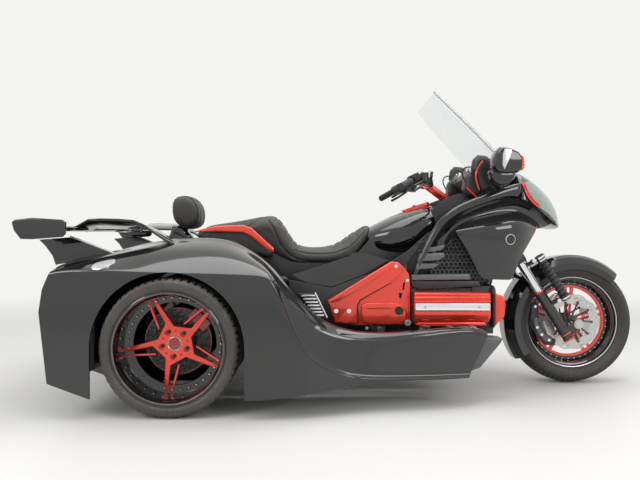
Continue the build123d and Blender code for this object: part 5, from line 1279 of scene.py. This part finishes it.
headCover = {
    "rear": 0.272, "front": 0.632,
    "section": [(0.300, 0.504), (0.360, 0.508), (0.372, 0.503), (0.378, 0.494), (0.3755, 0.490), (0.3755, 0.4855),
                (0.381, 0.482), (0.381, 0.476), (0.3765, 0.4735), (0.3765, 0.469), (0.383, 0.4655), (0.383, 0.458),
                (0.3775, 0.455), (0.3775, 0.419), (0.383, 0.416), (0.3835, 0.400), (0.374, 0.378), (0.352, 0.360),
                (0.300, 0.350)],
    "strip": [(0.277, 0.4545), (0.626, 0.4545), (0.630, 0.449), (0.630, 0.427), (0.624, 0.420), (0.279, 0.420),
              (0.274, 0.426), (0.274, 0.449)],
    "stripBolts": [(0.322, 0.437), (0.575, 0.437)],
    "ends": [(0.0, 0.93), (0.004, 0.985), (0.012, 1.0)],  # in from either end, and how large
    "lip": [(0.288, 0.362), (0.606, 0.362), (0.618, 0.350), (0.600, 0.345), (0.296, 0.345), (0.280, 0.352)],
    "pipes": (0.330, 0.440, 0.550),
}


def makeCovers():
    low, mid, high, top = covers["armOuts"]
    hole = covers["hole"]
    arm = plate(covers["arm"], -low, -mid, 0.004, 3)
    slits = [plate(slit, -low + 0.01, -mid - 0.02) for slit in covers["slits"]]
    arm = without(arm, [joined(*slits)])
    bar = plate(covers["bar"], -mid + 0.001, -high, 0.005, 3)
    facet = plate(covers["upperFacet"], -high + 0.001, -top, 0.0045, 2)
    recess = covers["recess"]
    dimple = crossRod(recess[0], recess[1], -high + 0.004, -high - 0.01, recess[2], 32)
    bar = without(bar, [dimple])
    paired("frame_cover_shells", joined(arm, bar, facet), "candyRed", ["frame_covers"], 30)
    groove = plate(covers["groove"], -mid + 0.002, -mid - 0.0015)
    paired("frame_cover_grooves", groove, "darkMesh")
    case = plate(covers["gearcase"], -mid + 0.001, -0.3305, 0.009, 4)
    case = without(case, [crossRod(hole[0], hole[1], -0.320, -0.35, hole[2], 36)])
    ridge = plate(covers["ridge"], -0.329, -0.3325, 0.0015, 2)
    paired("gearcase_shells", joined(case, ridge), "candyRed", ["gearcase_covers"], 30)
    plug = crossRod(hole[0], hole[1], -0.318, -0.3225, hole[2] - 0.001, 36)
    paired("gearcase_plugs", plug, "satinBlack")
    heads = [crossRod(x, z, -high + 0.002, -high - 0.005, radius, 6) for x, z, radius in covers["bolts"]]
    collars = [crossRod(x, z, -high + 0.003, -high - 0.002, radius * 1.3, 24)
               for x, z, radius in covers["bolts"]]
    paired("cover_bolts", joined(*heads, *collars), "chrome")
    pegs = []
    for index in range(covers["pegs"]["count"]):
        x, z = polar(covers["pegs"]["ring"], 90 + 360 / covers["pegs"]["count"] * index)
        x, z = recess[0] + x, recess[1] + z
        pegs.append(crossRod(x, z, -high + 0.004, -high - 0.001, covers["pegs"]["radius"], 16))
    paired("recess_pegs", joined(*pegs), "candyRed")


def makeHeadCovers():
    rear, front = headCover["rear"], headCover["front"]
    section = headCover["section"]
    middle = middleOf(section)

    def ring(x, share):
        return [Vector((x, -(middle[0] + (out - middle[0]) * share), middle[1] + (up - middle[1]) * share))
                for out, up in section]
    ends = headCover["ends"]
    cover = loft([ring(rear + step, share) for step, share in ends]
                 + [ring(front - step, share) for step, share in reversed(ends)])
    cover = eased(cover, 0.0012, 2, 20)
    lip = plate(headCover["lip"], -0.300, -0.366, 0.004, 2)
    paired("head_cover_shells", joined(cover, lip), "candyRed", ["head_covers"], 30)
    strip = plate(headCover["strip"], -0.372, -0.3845, 0.0025, 3)
    paired("head_cover_strips", strip, "chrome", ["head_strips"])
    bolts = [crossRod(x, z, -0.384, -0.3855, 0.0075, 6) for x, z in headCover["stripBolts"]]
    paired("strip_bolts", joined(*bolts), "brushedSteel")
    pipes = []
    for x in headCover["pipes"]:
        pipes.append(rodBetween((x, -0.345, 0.350), (x - 0.02, -0.325, 0.310), 0.019, 24))
        pipes.append(rodBetween((x, -0.350, 0.356), (x - 0.003, -0.342, 0.344), 0.026, 24))
    paired("exhaust_stubs", joined(*pipes), "brushedSteel")


louvres = {
    "blades": [  # saw-toothed at the front: x and up
        [(0.330, 0.713), (0.398, 0.726), (0.424, 0.731), (0.424, 0.716), (0.408, 0.704), (0.322, 0.692)],
        [(0.306, 0.688), (0.424, 0.692), (0.424, 0.672), (0.398, 0.656), (0.296, 0.650)],
        [(0.292, 0.640), (0.404, 0.640), (0.372, 0.617), (0.284, 0.612)],
    ],
    "bar": [(0.266, 0.586), (0.540, 0.590), (0.548, 0.584), (0.548, 0.564), (0.266, 0.560)],
    "duct": [(0.262, 0.556), (0.590, 0.556), (0.600, 0.530), (0.300, 0.512), (0.272, 0.530)],
    "rails": [0.742, 0.700, 0.660, 0.625],
    "mesh": {"low": 0.560, "high": 0.790, "rear": 0.380, "front": 0.620, "cell": 0.0125, "bar": 0.0020,
             "deep": 0.003},
    "meshOut": 0.274,
}


def honeycomb(low, high, rear, front, cell, bar, deep):
    # six-sided cells as a net of bars with real holes
    work = bmesh.new()
    width = cell * math.sqrt(3)
    row, z = 0, low
    while z < high:
        x = rear + (width / 2 if row % 2 else 0)
        while x < front:
            corners = []
            for share in (1.0, 1.0 - bar / cell * 1.15):
                corners.append([work.verts.new((x + cell * share * math.sin(math.radians(60 * turn)), 0,
                                                z + cell * share * math.cos(math.radians(60 * turn))))
                                for turn in range(6)])
            outer, inner = corners
            for index in range(6):
                after = (index + 1) % 6
                work.faces.new((outer[index], outer[after], inner[after], inner[index]))
            x += width
        row += 1
        z += cell * 1.5
    bmesh.ops.remove_doubles(work, verts=work.verts, dist=0.0002)
    return thickened(work, (0, deep, 0))


def makeLouvres():
    blades = [plate(blade, -0.296, -0.322, 0.003, 2) for blade in louvres["blades"]]
    bar = plate(louvres["bar"], -0.300, -0.328, 0.003, 2)
    paired("louvre_blades", joined(bar, *blades), "greyTrim", ["louvres"])
    duct = plate(louvres["duct"], -0.270, -0.320, 0.006, 2)
    rails = [rodBetween((0.300, -0.290, up), (0.600, -0.286, up), 0.004, 12) for up in louvres["rails"]]
    paired("louvre_rails", joined(duct, *rails), "satinBlack")
    net = moved(honeycomb(**louvres["mesh"]), Matrix.Translation((0, -louvres["meshOut"], 0)))
    paired("radiator_nets", net, "greyTrim")


vent = {  # bright ribbed vent behind the frame cover
    "frame": [(-0.282, 0.497), (-0.196, 0.497), (-0.140, 0.385), (-0.152, 0.372), (-0.190, 0.372)],
    "ribs": 7, "ribHalf": 0.004,
    "foot": 0.385, "span": 0.110,  # where the lowest rib's band starts, and the height of all
    "top": 0.497, "height": 0.125,
    "rear": (-0.272, 0.080), "front": (-0.203, 0.056),  # x at the top, and how far it runs forward to the foot
}


def makeVents():
    back = plate(vent["frame"], -0.300, -0.318, 0.003, 2)
    ribs, half = [], vent["ribHalf"]
    for index in range(vent["ribs"]):
        up = vent["foot"] + vent["span"] * (index + 0.5) / vent["ribs"]
        share = (vent["top"] - up) / vent["height"]
        rear, front = [start + run * share for start, run in (vent["rear"], vent["front"])]
        ribs.append(plate([(rear, up - half), (front, up - half), (front, up + half), (rear, up + half)],
                          -0.316, -0.330, 0.002, 2))
    rim = rodBetween((-0.200, -0.324, 0.500), (-0.142, -0.324, 0.380), 0.006, 16)
    paired("side_vent_backs", back, "satinBlack")
    paired("side_vent_ribs", joined(rim, *ribs), "chrome")


makeCovers()
makeHeadCovers()
makeLouvres()
makeVents()
print("covers, louvres and vents made")


# tank, cockpit, and what is on the bars

tank = {
    # x, top, shoulder out and up, side out and up, foot out and up
    "rows": [
        (0.050, 0.800, 0.080, 0.786, 0.104, 0.742, 0.098, 0.692),
        (0.090, 0.824, 0.104, 0.804, 0.138, 0.748, 0.128, 0.682),
        (0.140, 0.851, 0.122, 0.828, 0.170, 0.762, 0.152, 0.676),
        (0.200, 0.879, 0.136, 0.853, 0.192, 0.778, 0.168, 0.673),
        (0.260, 0.900, 0.142, 0.874, 0.201, 0.793, 0.178, 0.673),
        (0.320, 0.918, 0.142, 0.892, 0.202, 0.808, 0.181, 0.681),
        (0.380, 0.934, 0.136, 0.906, 0.198, 0.824, 0.178, 0.700),
        (0.430, 0.944, 0.128, 0.914, 0.188, 0.838, 0.168, 0.720),
    ],
    "consoleFrom": (0.262, 0.898), "consoleTo": (0.400, 0.944),
    "consoleHalf": 0.062, "consoleCorner": 0.022,
    "key": [(-0.012, -0.011), (0.012, -0.011), (0.012, 0.011), (-0.012, 0.011)],
}


def tankSection(row):
    x, top, shoulderOut, shoulderUp, sideOut, sideUp, footOut, footUp = row
    right = [(shoulderOut * 0.5, top - 0.003), (shoulderOut, shoulderUp),
             ((shoulderOut + sideOut) / 2 + 0.012, (shoulderUp + sideUp) / 2 + 0.010),
             (sideOut, sideUp), (footOut, footUp)]
    return wholeSection(x, top, right, footUp + 0.004)


def alongTop(start, end):
    # a frame whose x runs from start to end up the middle plane, and whose z stands off it
    start, end = Vector((start[0], 0, start[1])), Vector((end[0], 0, end[1]))
    along = (end - start).normalized()
    up = Vector((-along.z, 0, along.x))
    turn = Matrix((along, Vector((0, 1, 0)), up)).transposed().to_4x4()
    return Matrix.Translation(start) @ turn, (end - start).length


def roundedBox(length, half, radius, steps=5):
    points = []
    for middleX, middleY, start in ((length - radius, half - radius, 0), (radius, half - radius, 90),
                                    (radius, radius - half, 180), (length - radius, radius - half, 270)):
        for step in range(steps + 1):
            turn = math.radians(start + 90 * step / steps)
            points.append((middleX + radius * math.cos(turn), middleY + radius * math.sin(turn)))
    return points


def makeTank():
    shell = smoothed(loft([tankSection(row) for row in tank["rows"]]), 2)
    shown("tank_shell", shell, "glossBlack", "chassis", ["tank_cover"], 60)
    place, length = alongTop(tank["consoleFrom"], tank["consoleTo"])
    half = tank["consoleHalf"]

    def onTank(outline, low, high, width):
        work = bmesh.new()
        work.faces.new([work.verts.new((x, y, low)) for x, y in outline])
        thickened(work, (0, 0, high - low))
        return moved(eased(work, width, 2, 50), place)
    box = roundedBox(length, half, tank["consoleCorner"])
    rim = onTank(box, -0.012, 0.011, 0.003)
    inside = [(x * 0.86 + length * 0.07, y * 0.80) for x, y in box]
    rim = without(rim, [onTank(inside, 0.003, 0.03, 0.0005)])
    shown("console_rim", rim, "candyRed", "chassis")
    shown("console_floor", onTank(inside, -0.002, 0.0045, 0.001), "satinBlack", "chassis")
    keys = []
    for row in range(3):
        for side in (-1, 1):
            middleX, middleY = length * (0.24 + 0.24 * row), side * half * 0.46
            keys.append(onTank([(middleX + x, middleY + y) for x, y in tank["key"]], 0.003, 0.010, 0.002))
    knob = rodBetween((length * 0.5, 0, 0.003), (length * 0.5, 0, 0.016), 0.010, 28, 0.008)
    shown("console_keys", joined(moved(knob, place), *keys), "gripRubber", "chassis")


cockpit = {
    "wing": [(0.566, 1.100), (0.574, 1.148), (0.598, 1.172), (0.640, 1.168), (0.672, 1.140), (0.674, 1.090),
             (0.652, 1.050), (0.660, 0.985), (0.618, 0.982), (0.594, 1.022), (0.588, 1.062)],
    "wingSlices": [(0.226, 0.70), (0.236, 0.94), (0.262, 1.0), (0.284, 0.92), (0.294, 0.70)],
    "pod": [(0.540, 1.008), (0.548, 1.070), (0.566, 1.090), (0.600, 1.092), (0.640, 1.070), (0.650, 0.990),
            (0.600, 0.960), (0.556, 0.972)],
    "podSlices": [(0.152, 0.80), (0.166, 0.98), (0.215, 1.0), (0.246, 0.92), (0.254, 0.70)],
    "core": [(0.560, 1.062), (0.600, 1.118), (0.690, 1.126), (0.770, 1.118), (0.800, 1.060), (0.740, 0.985),
             (0.640, 0.975)],
    "lines": {  # tube radius, finish and its points: x, out, up
        "arc": (0.0055, "candyRed", [(0.618, 0.290, 1.138), (0.596, 0.290, 1.112), (0.584, 0.290, 1.080),
                                     (0.584, 0.290, 1.044), (0.600, 0.290, 0.998)]),
        "loop": (0.0035, "satinBlack", [(0.552, 0.236, 1.030), (0.528, 0.236, 1.072), (0.532, 0.236, 1.104),
                                        (0.556, 0.236, 1.118), (0.590, 0.236, 1.112)]),
        "trim": (0.006, "candyRed", [(0.548, 0.250, 1.012), (0.574, 0.252, 0.984), (0.604, 0.254, 0.958)]),
    },
    "dialPlace": (0.5775, 1.092), "dialFacing": (-0.86, 0, 0.51),
    "dials": [(-0.150, 0.030), (-0.082, 0.030), (0.082, 0.030), (0.150, 0.030)],
}


def makeCockpit():
    wing = eased(sliced(cockpit["wing"], cockpit["wingSlices"]), 0.004, 3)
    paired("cockpit_wings", wing, "satinBlack", ["dash"], 40)
    pods = eased(sliced(cockpit["pod"], cockpit["podSlices"]), 0.005, 3)
    core = plate(cockpit["core"], -0.228, 0.228, 0.010, 3)
    paired("cockpit_pods", pods, "satinBlack", (), 40)
    shown("dash_core", core, "satinBlack", "chassis", (), 40)
    for side, name in sides:
        for part, (radius, finishName, points) in cockpit["lines"].items():
            tube("cockpit_%s_%s" % (part, name), [(x, side * out, up) for x, out, up in points], radius,
                 finishName, "chassis")
    turn = Vector(cockpit["dialFacing"]).to_track_quat("Z", "Y").to_matrix().to_4x4()
    x, up = cockpit["dialPlace"]
    rings, faces, hands = [], [], []
    for out, radius in cockpit["dials"]:
        place = Matrix.Translation((x, out, up)) @ turn
        for store, low, high, size in ((rings, -0.004, 0.006, radius), (faces, -0.004, 0.0064, radius - 0.003)):
            store.append(moved(rodBetween((0, 0, low), (0, 0, high), size, 40, size - 0.001), place))
        hands.append(moved(rodBetween((0.001, 0.001, 0.0072), (radius * 0.5, radius * 0.55, 0.0072), 0.0009, 8), place))
    shown("dial_rings", joined(*rings), "silverTrim", "chassis")
    shown("dial_faces", joined(*faces), "satinBlack", "chassis")
    shown("dial_hands", joined(*hands), "candyRed", "chassis")


bars = {
    "reservoir": (0.352, 0.236, 1.060),
    "lever": [(0.338, 0.262, 1.040), (0.322, 0.318, 1.024), (0.296, 0.385, 1.004), (0.262, 0.438, 0.986)],
    "leverRadii": [(0.0085, 0.0070), (0.0070, 0.0062), (0.0062, 0.0075)],
    "switches": [(0.296, 0.302, 1.060), (0.282, 0.318, 1.052)],
    "switchBox": [(-0.018, -0.014), (0.016, -0.018), (0.020, 0.012), (-0.014, 0.016)],
}


def makeBars():
    x, out, up = bars["reservoir"]
    lean = Vector((0.12, -0.05, 0.99)).normalized()
    base = Vector((x, -out, up))
    cup = rodBetween(base - lean * 0.034, base + lean * 0.004, 0.026, 32, 0.029)
    jar = joined(rodBetween(base + lean * 0.004, base + lean * 0.032, 0.0300, 36),
                 rodBetween(base + lean * 0.032, base + lean * 0.037, 0.0320, 36, 0.0290))
    paired("reservoir_cups", cup, "satinBlack", body="steering")
    paired("reservoirs", jar, "chrome", body="steering")
    levers = []
    points = [Vector((x, -out, up)) for x, out, up in bars["lever"]]
    for start, end, (wide, narrow) in zip(points, points[1:], bars["leverRadii"]):
        levers.append(rodBetween(start, end, wide, 16, narrow))
    paired("levers", joined(*levers), "castDark", body="steering")
    boxes = []
    for x, out, up in bars["switches"]:
        boxes.append(plate([(x + ahead, up + above) for ahead, above in bars["switchBox"]],
                           -out + 0.014, -out - 0.014, 0.003, 2))
        boxes.append(rodBetween((x, -out, up + 0.012), (x + 0.002, -out, up + 0.021), 0.006, 16, 0.005))
    paired("switch_blocks", joined(*boxes), "gripRubber", body="steering")
    clamp = crossRod(0.384, 1.046, -0.040, -0.062, 0.021, 28)
    paired("bar_clamps", clamp, "candyRed", body="steering")


# dark inner panels that close the gaps over the frame and the engine
innerPanels = {
    "under_seat": ([(-0.480, 0.560), (-0.480, 0.680), (-0.420, 0.690), (-0.300, 0.655), (0.020, 0.690),
                    (0.110, 0.790), (0.270, 0.700), (0.250, 0.600), (-0.100, 0.480), (-0.330, 0.500)], 0.130, 0.142),
    "behind_cover": ([(-0.330, 0.560), (-0.120, 0.520), (0.250, 0.660), (0.255, 0.340), (-0.150, 0.330),
                      (-0.300, 0.380)], 0.270, 0.280),
    "behind_louvres": ([(0.240, 0.540), (0.250, 0.690), (0.360, 0.790), (0.480, 0.830), (0.640, 0.840), (0.700, 0.700),
                        (0.640, 0.530)], 0.222, 0.234),
    "guard_back": ([(0.560, 0.300), (0.560, 0.530), (0.664, 0.530), (0.664, 0.300)], 0.300, 0.310),
    "neck": ([(0.380, 0.900), (0.440, 0.955), (0.520, 0.985), (0.640, 0.985), (0.640, 0.840), (0.420, 0.800)],
             0.195, 0.205),
}


def makeInnerPanels():
    panels = [plate(outline, -low, -high, 0.003, 2) for outline, low, high in innerPanels.values()]
    paired("inner_panels", joined(*panels), "satinBlack")


makeTank()
makeCockpit()
makeBars()
makeInnerPanels()
print("tank and cockpit made")


# fork rings, spring collars and the front calipers

fork = {
    "axle": (1.148, 0.322), "lean": 32.7, "lead": 0.078, "out": 0.130, "springAhead": 0.088, "springOut": 0.168,
    # bands along a leg or a spring: from, to, radius
    "rings": [(0.244, 0.252, 0.0305), (-0.010, -0.003, 0.0300), (-0.040, -0.034, 0.0300)],
    "collars": [(0.398, 0.408, 0.0285), (0.384, 0.391, 0.0275), (0.158, 0.166, 0.0275)],
    "caps": [(0.404, 0.052), (0.165, 0.050)],  # up the leg, and ahead of it
}


def forkPoint(up, out, ahead=0.0):
    lean = math.radians(fork["lean"])
    back = ahead - fork["lead"]
    return Vector((fork["axle"][0] + math.cos(lean) * back - math.sin(lean) * up, out,
                   fork["axle"][1] + math.sin(lean) * back + math.cos(lean) * up))


frontCaliper = {
    "body": [(0.925, 0.418), (0.950, 0.426), (0.962, 0.395), (0.962, 0.335), (1.002, 0.266), (1.052, 0.232),
             (1.046, 0.204), (0.996, 0.206), (0.946, 0.262), (0.920, 0.340)],
    "cap": [(0.938, 0.350), (0.956, 0.352), (0.958, 0.322), (0.990, 0.268), (1.030, 0.240), (1.024, 0.222),
            (0.994, 0.226), (0.952, 0.272), (0.934, 0.322)],
    "bolts": [(0.940, 0.408), (0.950, 0.300), (1.012, 0.234), (0.974, 0.262)],
}


def makeFork():
    rings, collars, caps = [], [], []
    for low, high, radius in fork["rings"]:
        rings.append(rodBetween(forkPoint(low, -fork["out"]), forkPoint(high, -fork["out"]), radius, 40))
    for low, high, radius in fork["collars"]:
        collars.append(rodBetween(forkPoint(low, -fork["springOut"], fork["springAhead"]),
                                  forkPoint(high, -fork["springOut"], fork["springAhead"]), radius, 40))
    for up, ahead in fork["caps"]:
        caps.append(rodBetween(forkPoint(up, -0.150, ahead), forkPoint(up, -0.182, ahead), 0.0115, 6))
    paired("fork_rings", joined(*rings), "candyRed", body="steering")
    paired("spring_collars", joined(*collars, *caps), "chrome", body="steering")
    body = plate(frontCaliper["body"], -0.071, -0.096, 0.005, 3)
    cap = plate(frontCaliper["cap"], -0.094, -0.1015, 0.0035, 3)
    paired("caliper_bodies", body, "castDark", ["front_calipers"], body="steering")
    paired("caliper_caps", cap, "greyTrim", body="steering")
    bolts = [crossRod(x, z, -0.094, -0.1055, 0.0075, 6) for x, z in frontCaliper["bolts"]]
    paired("caliper_bolts", joined(*bolts), "chrome", body="steering")
    x, z = fork["axle"]
    end = [crossRod(x, z, -0.147, -0.152, 0.018, 6), crossRod(x, z, -0.118, -0.149, 0.024, 40)]
    paired("axle_nuts", joined(*end), "brushedSteel", body="steering")


makeFork()
print("fork made")


# wing, its braces and fins, the badges on the shoulders, the post and the seat's cowl

rearParts = {
    "endplate": [(-1.474, 0.831), (-1.463, 0.842), (-1.389, 0.850), (-1.262, 0.842), (-1.247, 0.831), (-1.249, 0.781),
                 (-1.263, 0.769), (-1.389, 0.759), (-1.437, 0.760), (-1.465, 0.797)],
    # x, z and thickness along the wing's section
    "blade": [(-1.468, 0.822, 0.004), (-1.440, 0.818, 0.014), (-1.390, 0.812, 0.021), (-1.330, 0.806, 0.024),
              (-1.280, 0.804, 0.020), (-1.252, 0.806, 0.010), (-1.246, 0.808, 0.004)],
    "brace": [(-1.300, 0.806), (-1.268, 0.820), (-1.215, 0.851), (-1.160, 0.853), (-1.080, 0.851), (-1.012, 0.846),
              (-0.965, 0.826), (-0.925, 0.798), (-0.868, 0.760), (-0.830, 0.742)],
    "braceOut": (0.388, 0.530), "braceThick": (0.012, 0.013),  # inner edge, outer edge
    "braceDip": 0.034, "dipPlaces": 7,
    "fin": [(-1.435, 0.757), (-1.291, 0.768), (-1.095, 0.693), (-1.100, 0.684), (-1.345, 0.647), (-1.360, 0.643),
            (-1.375, 0.685), (-1.405, 0.727)],
    "finEdge": [(-1.296, 0.770), (-1.235, 0.748), (-1.165, 0.721), (-1.098, 0.695)],
    "post": [(-0.970, 0.712), (-0.971, 0.772), (-0.962, 0.790), (-0.953, 0.830), (-0.884, 0.830), (-0.872, 0.792),
             (-0.850, 0.776), (-0.838, 0.716), (-0.866, 0.703), (-0.940, 0.703)],
    "postSlices": [(-0.058, 0.70), (-0.050, 0.92), (-0.030, 1.0), (0.030, 1.0), (0.050, 0.92), (0.058, 0.70)],
    "postFoot": [(-0.968, 0.704), (-0.968, 0.716), (-0.838, 0.722), (-0.838, 0.706)],
    "badge": (-1.092, 0.652, 0.045, 0.019, 16),  # x, up, half length, half height, tilt
    "cowl": [(-0.796, 0.775), (-0.770, 0.806), (-0.690, 0.815), (-0.560, 0.812), (-0.500, 0.786), (-0.408, 0.690),
             (-0.418, 0.668), (-0.455, 0.672), (-0.560, 0.700), (-0.690, 0.740)],
    "cowlSlices": [(0.060, 0.92), (0.120, 0.98), (0.196, 1.0), (0.222, 0.93), (0.236, 0.72)],
    "trim": [(-0.804, 0.792), (-0.760, 0.806), (-0.690, 0.822), (-0.552, 0.827), (-0.512, 0.812), (-0.455, 0.760),
             (-0.402, 0.712), (-0.403, 0.694), (-0.440, 0.708), (-0.515, 0.770), (-0.556, 0.790), (-0.690, 0.794)],
}


def makeWing():
    top = [(x, z + thick / 2) for x, z, thick in rearParts["blade"]]
    under = [(x, z - thick / 2) for x, z, thick in reversed(rearParts["blade"])]
    blade = plate(top + under, 0.684, -0.684, 0.0015, 2)
    ends = [plate(rearParts["endplate"], side * 0.683, side * 0.6995, 0.005, 3) for side in (-1, 1)]
    shown("wing_blade", blade, "glossBlack", "chassis", ["wing"], 35)
    shown("wing_ends", joined(*ends), "glossBlack", "chassis")
    inner, outer = rearParts["braceOut"]
    path = rearParts["brace"]
    sections = []
    thinner, thicker = rearParts["braceThick"]
    places = rearParts["dipPlaces"]
    for index, (x, z) in enumerate(path):
        dip = rearParts["braceDip"] * math.sin(math.pi * (index / places)) ** 0.7 if index < places else 0.0
        sections.append([Vector((x, -outer, z)), Vector((x, -outer, z - thicker)),
                         Vector((x, -inner, z - dip - thinner)), Vector((x, -inner, z - dip))])
    paired("wing_braces", eased(loft(sections), 0.003, 2, 40), "glossBlack", ["wing_struts"], 50)
    fin = plate(rearParts["fin"], -0.509, -0.529, 0.005, 3)
    paired("wing_fins", fin, "glossBlack")
    for side, name in sides:
        tube("fin_edge_" + name, [(x, side * 0.522, z) for x, z in rearParts["finEdge"]], 0.0045, "silverTrim",
             "chassis")
    x, z, half, high, tilt = rearParts["badge"]
    tree = BVHTree.FromObject(bpy.data.objects["body_right"], bpy.context.evaluated_depsgraph_get())
    lean = math.radians(tilt)
    for piece, share, lift, thickness, finishName in (("rims", 1.0, 0.0035, 0.004, "chrome"),
                                                      ("faces", 0.86, 0.0045, 0.003, "silverTrim")):
        outline = []
        for step in range(48):
            along = half * share * math.cos(math.tau * step / 48)
            across = (high - half * (1 - share)) * math.sin(math.tau * step / 48)
            outline.append((x + along * math.cos(lean) - across * math.sin(lean),
                            z + along * math.sin(lean) + across * math.cos(lean)))
        paired("oval_badge_" + piece, draped(outline, tree, lift, thickness), finishName)


def makeSeatTail():
    post = eased(sliced(rearParts["post"], rearParts["postSlices"]), 0.005, 3)
    foot = plate(rearParts["postFoot"], -0.058, 0.058, 0.004, 3)
    shown("post_shell", post, "glossBlack", "chassis", ["backrest_post"], 40)
    shown("post_foot", foot, "glossBlack", "chassis")
    cowl = sliced(rearParts["cowl"], rearParts["cowlSlices"])
    paired("seat_cowl_shells", eased(cowl, 0.005, 3), "satinBlack", ["seat_cowl"], 40)
    trim = plate(rearParts["trim"], -0.238, -0.2535, 0.006, 4)
    paired("seat_trim_blades", trim, "candyRed", ["seat_trims"], 40)


# a pale oblique cap closes the front of each pod
podCap = {
    "face": [(0.470, 0.152), (0.556, 0.310), (0.640, 0.302), (0.664, 0.300), (0.655, 0.282), (0.560, 0.168),
             (0.500, 0.146)],
    "outer": 0.470, "inner": 0.372,
}


def makePodCaps():
    cap = plate(podCap["face"], -podCap["inner"], -podCap["outer"], 0.006, 3)
    paired("pod_caps", cap, "greyTrim", (), 40)


makeWing()
makeSeatTail()
makePodCaps()
print("wing and seat tail made")


# CAD nodes that stay: a copy with eased edges, or the node itself with its finish
easedNodes = {  # node: finish, edge radius
    "rear_deck": ("glossBlack", 0.006), "rear_door": ("glossBlack", 0.002), "side_panels": ("glossBlack", 0.004),
    "knee_panels": ("satinBlack", 0.003), "radiator_shrouds": ("candyRed", 0.003), "yokes": ("satinBlack", 0.003),
    "rear_calipers": ("deepRed", 0.004),
}
plainNodes = {  # node: finish
    # the rear discs take the dark cast finish as painted shade: they are darkened to the shade they sit in behind the
    # spokes inside the rear wheels
    "rear_disc_left": "castDark", "rear_disc_right": "castDark", "fork_sliders": "glossBlack",
    "fork_tubes": "chrome", "front_axle": "brushedSteel", "assist_springs": "satinBlack",
    "front_fender": "glossBlack", "handlebar": "satinBlack", "risers": "candyRed", "grips": "gripRubber",
    "bar_controls": "satinBlack", "rear_axle": "castDark", "frame": "satinBlack", "frame_cradle": "satinBlack",
    "engine": "castDark", "radiators": "darkMesh", "windscreen": "clearScreen", "tail_lamps": "redLens",
    "exhausts": "satinBlack", "engine_guards": "satinBlack", "footpegs": "gripRubber",
}


def softened(node, finishName, width):
    # a merged copy of the node with its sharp edges rounded
    work = bmesh.new()
    work.from_mesh(nodes[node].data)
    bmesh.ops.remove_doubles(work, verts=work.verts, dist=0.00002)
    bmesh.ops.dissolve_limit(work, angle_limit=math.radians(1), verts=work.verts, edges=work.edges)
    piece = finishMesh(node + ".eased", eased(work, width, 2, 30), finishName, smoothAngle=40)
    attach(piece, nodes[node]["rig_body"])
    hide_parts(node)


for node, (finishName, width) in easedNodes.items():
    softened(node, finishName, width)
for node, finishName in plainNodes.items():
    for slot in nodes[node].material_slots:
        slot.material = materials[finishName]
print("carried pieces finished")
